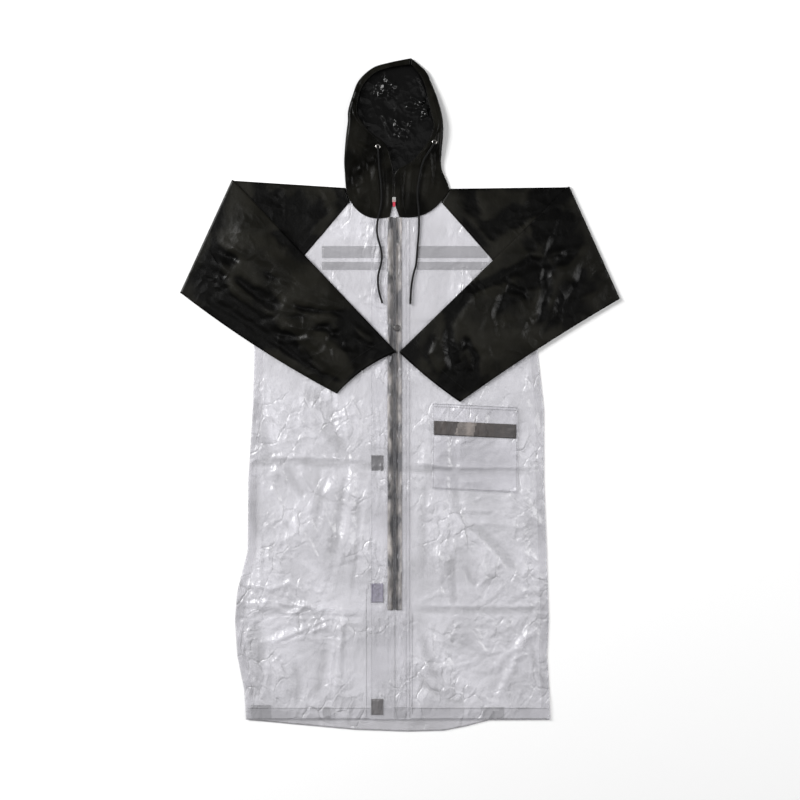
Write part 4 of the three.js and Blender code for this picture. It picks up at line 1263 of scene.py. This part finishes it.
SNAP = (-7.0, 152.0)
snap_z = float(flap_top(np.array([SNAP[0]]), np.array([SNAP[1]]))[0]) + 0.3
snap_profile = [
    (7.4, 0), (7.5, 0.6), (7.0, 1.3), (5.6, 1.7), (5.2, 1.3), (3.2, 1.2), (2.8, 1.9), (1.2, 2.2),
    (0.3, 2.25),
]
snap_cap = lathe("snap_cap", snap_profile, (*SNAP, snap_z), snap_plastic)
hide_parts("snap")

tooth_y = np.arange(ZIP_END_Y + 2, zip_end("zip_chain") - 1, TOOTH_PITCH)
tooth_x = CENTRE_X + TOOTH_SHIFT * np.where(np.arange(len(tooth_y)) % 2, -1, 1)
tooth_z = front_top(tooth_x, tooth_y) + GAP + CHAIN_HEIGHT / 2 + 0.1
tooth_spots = np.stack([tooth_x, tooth_y, tooth_z], -1)
tooth_ways = np.tile((1.0, 0.12, 0.0), (len(tooth_y), 1))
tooth = bevelled_bar(3.4, 1.0, 1.4, 0.3)
zip_teeth = many("zip_teeth", tooth, tooth_spots, tooth_ways, teeth)
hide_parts("zip_chain")


# Sewing

STITCH = bevelled_bar(3.0, 0.6, 0.42, 0.16)


def sewn(name, rows, material):
    """Stitches along rows of points."""
    spots, ways = [], []
    for row in rows:
        gone = distances(row)
        at = np.arange(STITCH_PITCH / 2, gone[-1], STITCH_PITCH)
        if len(at) > 1:
            before, after = (points_at(row, gone, at + d) for d in (-HALF_STITCH, HALF_STITCH))
            spots.append((before + after) / 2)
            ways.append(after - before)
    return many(name, STITCH, np.concatenate(spots), np.concatenate(ways), material)


def on_surface(top, points):
    """A row of points about every 3 mm along a bent line, on a surface."""
    points = np.array(points, float)
    gone = distances(points)
    at = np.linspace(0, gone[-1], max(2, int(gone[-1] / 3)))
    x, y = points_at(points, gone, at).T
    return np.stack([x, y, top(x, y) + 0.12], -1)


def pocket_row(inset, *heights):
    """A line along the right edge of the pocket, across, and back along its left edge."""
    right = [(POCKET["right"] + inset, pocket_line(y, POCKET["right"])) for y in heights]
    left = [(POCKET["left"] - inset, pocket_line(y, POCKET["left"])) for y in reversed(heights)]
    return right + left


HEM_STITCH_Y = (-710.5, -733.5)
FLAP_STITCH_Y = (-732, 398)
hem_spans = (-346, FLAP_RIGHT - 2), (FLAP_LEFT + 2, 334)
hem_rows = [[(x0, y), (x1, y)] for y in HEM_STITCH_Y for x0, x1 in hem_spans]
back_hem_row = [(x, y + 2.6) for x, y in zip(BACK_HEM["x"], BACK_HEM["y"])]
flap_rows = [[(x, y) for y in FLAP_STITCH_Y] for x in (FLAP_LEFT - 2, FLAP_LEFT - 9, FLAP_RIGHT + 2.2)]
placket_spans = (FLAP_RIGHT - 10, -730, -440), (-27, -500, -611), (-11, -500, -722), (28, -496, -722)
placket_rows = [[(x, y0), (x, y1)] for x, y0, y1 in placket_spans]
pocket_top = POCKET["top"]
bag_row = pocket_row(2.5, pocket_top - 76, POCKET["bottom"] + 3)
pocket_flap_rows = [
    pocket_row(2, pocket_top - 70, pocket_top - 1),
    pocket_row(4, pocket_top - 7),
    pocket_row(4, pocket_top - 69.5),
]
SEWN = {
    "hem": [(front_top, row) for row in hem_rows],
    "back_hem": [(level(BACK_STITCH_HEIGHT), back_hem_row)],
    "flap": [(flap_top, row) for row in flap_rows],
    "placket": [(front_top, row) for row in placket_rows],
    "pocket": [(bag_top, bag_row)] + [(pocket_flap_top, row) for row in pocket_flap_rows],
}
for name, lines in SEWN.items():
    sewn(f"{name}_stitches", [on_surface(top, row) for top, row in lines], thread)


# Seam allowances, turned corners and bars on the back, seen through the film


def side_seam_place(key):
    s = SLEEVES[key]

    def place(u, v):
        y = mix(HEM_Y + 4, s["underarm"][1] - 4, v)
        x = side_x(key, y) - s["sign"] * mix(1.5, 19, u)
        return x, y, SEAM_HEIGHT + 0 * x

    return place


for key in SIDES:
    strip = cloth(f"side_seam_{key}", side_seam_place(key), 5, 150, 0.2, [hem_film])

# The corners are near-black sheets: folded layers of film, painted dark as the shade in the folds.
CORNERS = {
    "hem_corner_right": (-338, -293, -733, -703),
    "hem_fold_right": (-175, -157, -733, -708),
    "hem_fold_left": (188, 236, -733, -708),
    "placket_end": (-10, 13, -733, -708),
}
for name, edges in CORNERS.items():
    corner = cloth(name, flat_strip(*edges, level(CORNER_HEIGHT)), 8, 6, 0.2, [corner_shade_film])

for side_name, x0, x1 in (("right", -177, -34), ("left", 38, 198)):
    for n, (y0, y1) in enumerate(((284, 302), (311, 338))):
        strip = flat_strip(x0, x1, y0, y1, level(BAND_HEIGHT))
        band = cloth(f"back_band_{side_name}_{n}", strip, 24, 4, 0.15, [grey_ink])


# Closing patches

for (node, (y, height)), material in zip(PATCHES.items(), (tape_dark, tape_lilac, tape_grey)):
    place = flat_strip(FLAP_RIGHT + 1, FLAP_RIGHT + 28, y - height / 2, y + height / 2, above(front_top))
    patch = cloth(f"{node}_tape", place, 10, 14, WALL, [material], node)


# Sleeves


FOLD_START, FOLD_END = 0.3, 0.36  # shares of the sleeve's length


def sleeve_reliefs(key):
    """Creases of a sleeve below the fold at the elbow, and above it."""
    pick = 61 if key == "right" else 64
    box = (-480, 0, -20, 470) if key == "right" else (10, -10, 480, 470)
    fine = scattered(pick, 70, box, (30, 110), (0.5, 1.6), (6, 14))
    fine += scattered(pick + 7, 90, box, (14, 50), (0.3, 0.9), (4, 8))
    tables = SLEEVE_CREASES[key]
    lean = -40 if key == "right" else 40
    lower = Relief(box).add(tables["lower"], 0.8).add(fine, 0.8)
    lower.crumple(pick + 1, 46, 4.4, lean, 1.8).crumple(pick + 2, 18, 1.1, lean + 25, 1.5)
    upper = Relief(box).add(tables["upper"], 0.6).add(fine, 0.5)
    upper.crumple(pick + 3, 34, 3.0, lean + 15, 1.7).crumple(pick + 4, 15, 0.8, 60, 1.4)
    return lower, upper


SLEEVE_RELIEFS = {key: sleeve_reliefs(key) for key in SIDES}


def sleeve_painted_shade(key, is_back):
    """Painted shade: black in the troughs. Painted sheen: greyer on the flats between them."""
    lower, upper = SLEEVE_RELIEFS[key]
    relief, deep = (lower, 2.4) if is_back else (upper, 1.6)
    return lambda x, y: 0.08 + 0.92 * ease((relief(x, y) + 0.7 * deep) / deep)


def between_edges(u, v, start, end, above_edge, below_edge):
    """Points of a patch between four edges, each a function of its share."""
    a, b, c, d = start(0 * v), start(0 * v + 1), end(0 * v), end(0 * v + 1)
    w, t = u[:, None], v[:, None]
    edges = mix(start(v), end(v), w) + mix(above_edge(u), below_edge(u), t)
    return edges - mix(mix(a, b, t), mix(c, d, t), w)


def sleeve_place(key, is_back):
    """A layer of a sleeve: u from the raglan seam over the fold to the cuff, v across."""
    s = SLEEVES[key]
    sign = s["sign"]
    low = HALF if is_back else HALF + LAYER
    high = SLEEVE_REST + HALF + (LAYER if is_back else 0)
    half = HALF if is_back else -HALF  # from the middle of the wall to the face that is drawn
    radius = (high - low) / 2
    reach = (SLEEVE_REST + LAYER + WALL) / 2
    ends = ("fold_top", "fold_low", "neck", "underarm", "cuff_top", "cuff_low")
    top, foot, neck, under, cuff_top, cuff_low = (np.array(s[end], float) for end in ends)
    way = (top - foot) / np.hypot(*(top - foot))
    out = np.array([sign * way[1], -sign * way[0]])
    line_top, line_low = top - out * reach, foot - out * reach
    raglan = [s["neck"], *s["seam"], s["underarm"]]
    lower_relief, upper_relief = SLEEVE_RELIEFS[key]

    def edge(a, b, bow=0):
        return lambda t: bowed(a, b, t, bow)

    def seam(t):
        return along(raglan, t)

    def fold(t):
        return mix(line_top, line_low, t[:, None])

    cuff = edge(cuff_top, cuff_low, -sign * s["cuff_bow"])
    forearm = edge(line_low, cuff_low, -sign * s["low_bow"])

    def place(u, v):
        upper = np.clip(u / FOLD_START, 0, 1)
        angle = np.pi * np.clip((u - FOLD_START) / (FOLD_END - FOLD_START), 0, 1)
        lower = np.clip((u - FOLD_END) / (1 - FOLD_END), 0, 1)
        is_lower = lower > 0
        turning = (angle > 0) & ~is_lower
        before = between_edges(upper, v, seam, fold, edge(neck, line_top), edge(under, line_low))
        after = between_edges(lower, v, fold, cuff, edge(line_top, cuff_top), forearm)
        spot = np.where(turning[:, None], fold(v), before)
        spot = np.where(is_lower[:, None], after, spot)
        spot = spot + out * (radius * np.sin(angle))[:, None]
        x, y = spot[:, 0], spot[:, 1]
        z = low + radius * (1 - np.cos(angle))
        inner = np.sin(np.pi * np.clip(v, 0.001, 0.999)) ** 0.6
        if is_back:
            free = inner * ease(lower * 6) * ease((1 - lower) * 9) * is_lower
            lift = free * np.clip(FRONT_PUFF + 2.4 + lower_relief(x, y), -0.4, 9)
        else:
            free = inner * ease(upper * 5) * ease((1 - upper) * 5) * ~is_lower
            lift = free * np.clip(1.8 + upper_relief(x, y), -0.3, 4.0)
        face = np.where(is_lower, half, -half)
        face = np.where(turning, -half * np.cos(angle), face)
        outward = half * np.sin(angle)
        return x + out[0] * outward, y + out[1] * outward, z + lift + face

    return place


for key, area in (("right", 0.174), ("left", 0.180)):
    for layer, columns, top in (("back", 190, (0.45, 0.95)), ("front", 150, (0.05, 0.25))):
        is_back = layer == "back"
        node = f"sleeve_{key}_{layer}"
        place, tone = sleeve_place(key, is_back), sleeve_painted_shade(key, is_back)
        sleeve = cloth(f"{node}_cloth", place, columns, 66, CLOTH, [painted_sleeve_nylon], node, top=top, tone=tone)


def sewn_row(place, u, v):
    """A row of points on a piece of cloth."""
    u, v = np.broadcast_arrays(np.asarray(u, float), np.asarray(v, float))
    x, y, z = place(u, v)
    return np.stack([x, y, z + 0.15], -1)


across_v = np.linspace(0.03, 0.97, 90)
for key in SIDES:
    inner, outer = sleeve_place(key, False), sleeve_place(key, True)
    rows = [sewn_row(inner, 0.008, across_v), sewn_row(inner, 0.03, across_v)]
    rows += [sewn_row(outer, 0.992, across_v), sewn_row(outer, 0.955, across_v)]
    sewn(f"sleeve_{key}_stitches", rows, black_thread)


# Hood

for key in SIDES:
    faces = [hood_nylon, coating]
    side = cloth(f"hood_{key}_cloth", HOOD_PLACES[key], 56, 120, CLOTH, faces, f"hood_{key}", top=(0.5, 1))

rim_v = np.linspace(0.03, 0.92, 150)
for key in SIDES:
    outer = HOOD_PLACES[key]
    rows = [sewn_row(outer, 0.9, rim_v), sewn_row(outer, np.linspace(0.36, 0.98, 40), 0.012)]
    sewn(f"hood_{key}_stitches", rows, black_thread)


def hood_back_place(u, v):
    """The back of the hood, inside up: u across, v from the neck to the peak."""
    right, left = hood_table("right", v), hood_table("left", v)
    inset = 1.2
    x = mix(right[:, 0] + inset, left[:, 0] - inset, u)
    y = mix(right[:, 1], left[:, 1], u)
    y = np.maximum(y - 1.0 * (v > 0.9), BACK_NECK_Y + GAP + 1.5 * v)
    inside = ease(np.minimum(u, 1 - u) * 9) * ease((y - 560) / 50) * ease((752 - y) / 30)
    folds = HOOD_INSIDE_RELIEF(x, y)
    return x, y, HOOD_BACK_FACE + inside * np.clip(1.6 + folds, 0, 7)


HOOD_INSIDE = [
    ([(-34, 722), (-16, 701), (-57, 676)], 4.0, 11),
    ([(-50, 716), (-30, 690), (-22, 668)], 2.4, 7),
    ([(11, 654), (36, 650), (66, 645)], 3.4, 9),
    ([(24, 676), (46, 662), (68, 672)], 2.2, 7),
    ([(-16, 633), (0, 600), (22, 565)], 4.0, 11),
    ([(6, 628), (18, 604), (34, 584)], 2.4, 7),
    ([(-40, 640), (-28, 610), (-14, 578)], 2.2, 7),
    ([(-60, 700), (-30, 660), (-10, 640)], -2.0, 16),
    ([(40, 728), (52, 700), (60, 676)], 1.6, 8),
]
HOOD_INSIDE_RELIEF = Relief((-135, 440, 110, 775), 1.5).add(HOOD_INSIDE)
for n, (x, y) in enumerate(((-34, 698), (44, 652), (6, 602))):
    rumpled = scattered(71 + n, 26, (x - 24, y - 22, x + 24, y + 22), (10, 34), (0.8, 2.0), (3, 6))
    HOOD_INSIDE_RELIEF.add(rumpled)
HOOD_INSIDE_RELIEF.crumple(75, 34, 1.0, 30, 1.4)

hood_back = cloth("hood_back_cloth", hood_back_place, 100, 130, CLOTH, [coating, hood_nylon], "hood_back")


# Fittings that keep the meshes of the pattern

KEPT = {
    "eyelet_right": dark_nickel,
    "eyelet_left": dark_nickel,
    "zip_slider": nickel,
    "zip_pull": red_enamel,
}
for node, material in KEPT.items():
    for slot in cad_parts[node].material_slots:
        slot.material = material


# Floor and light

bpy.ops.mesh.primitive_plane_add(size=14, location=(0, 0, -0.0004))
floor = bpy.context.object
floor.name = "floor"
floor_paint = new_material("white floor", (0.96, 0.96, 0.96), 0.9, Specular_IOR_Level=0.0)[0]
floor.data.materials.append(floor_paint)


def area_light(name, size, power, location):
    """A light that faces the middle of the coat."""
    data = bpy.data.lights.new(name, "AREA")
    data.shape = "RECTANGLE"
    data.size, data.size_y = size
    data.energy = power
    light = bpy.data.objects.new(name, data)
    bpy.context.collection.objects.link(light)
    light.location = location
    x, y, z = location
    yaw = math.atan2(-y, -x) - math.pi / 2
    light.rotation_euler = (math.atan2(math.hypot(x, y), z), 0, yaw)


area_light("overhead", (1.9, 1.9), 8, (-0.2, 0.2, 4.8))
area_light("left strip", (0.4, 1.6), 8, (-1.7, 1.0, 4.1))
area_light("left side", (1.3, 2.4), 275, (-3.4, 1.7, 2.7))
area_light("right side", (1.4, 2.6), 92, (3.3, 0.3, 3.1))

world = bpy.data.worlds.new("room")
bpy.context.scene.world = world
world.use_nodes = True
background = world.node_tree.nodes["Background"]
background.inputs["Color"].default_value = (1, 1, 1, 1)
background.inputs["Strength"].default_value = 0.14

scene = bpy.context.scene
scene.view_settings.view_transform = "Standard"
scene.cycles.transparent_max_bounces = 32
scene.cycles.max_bounces = 6
scene.cycles.diffuse_bounces = 3

bpy.context.view_layer.update()
deselect()
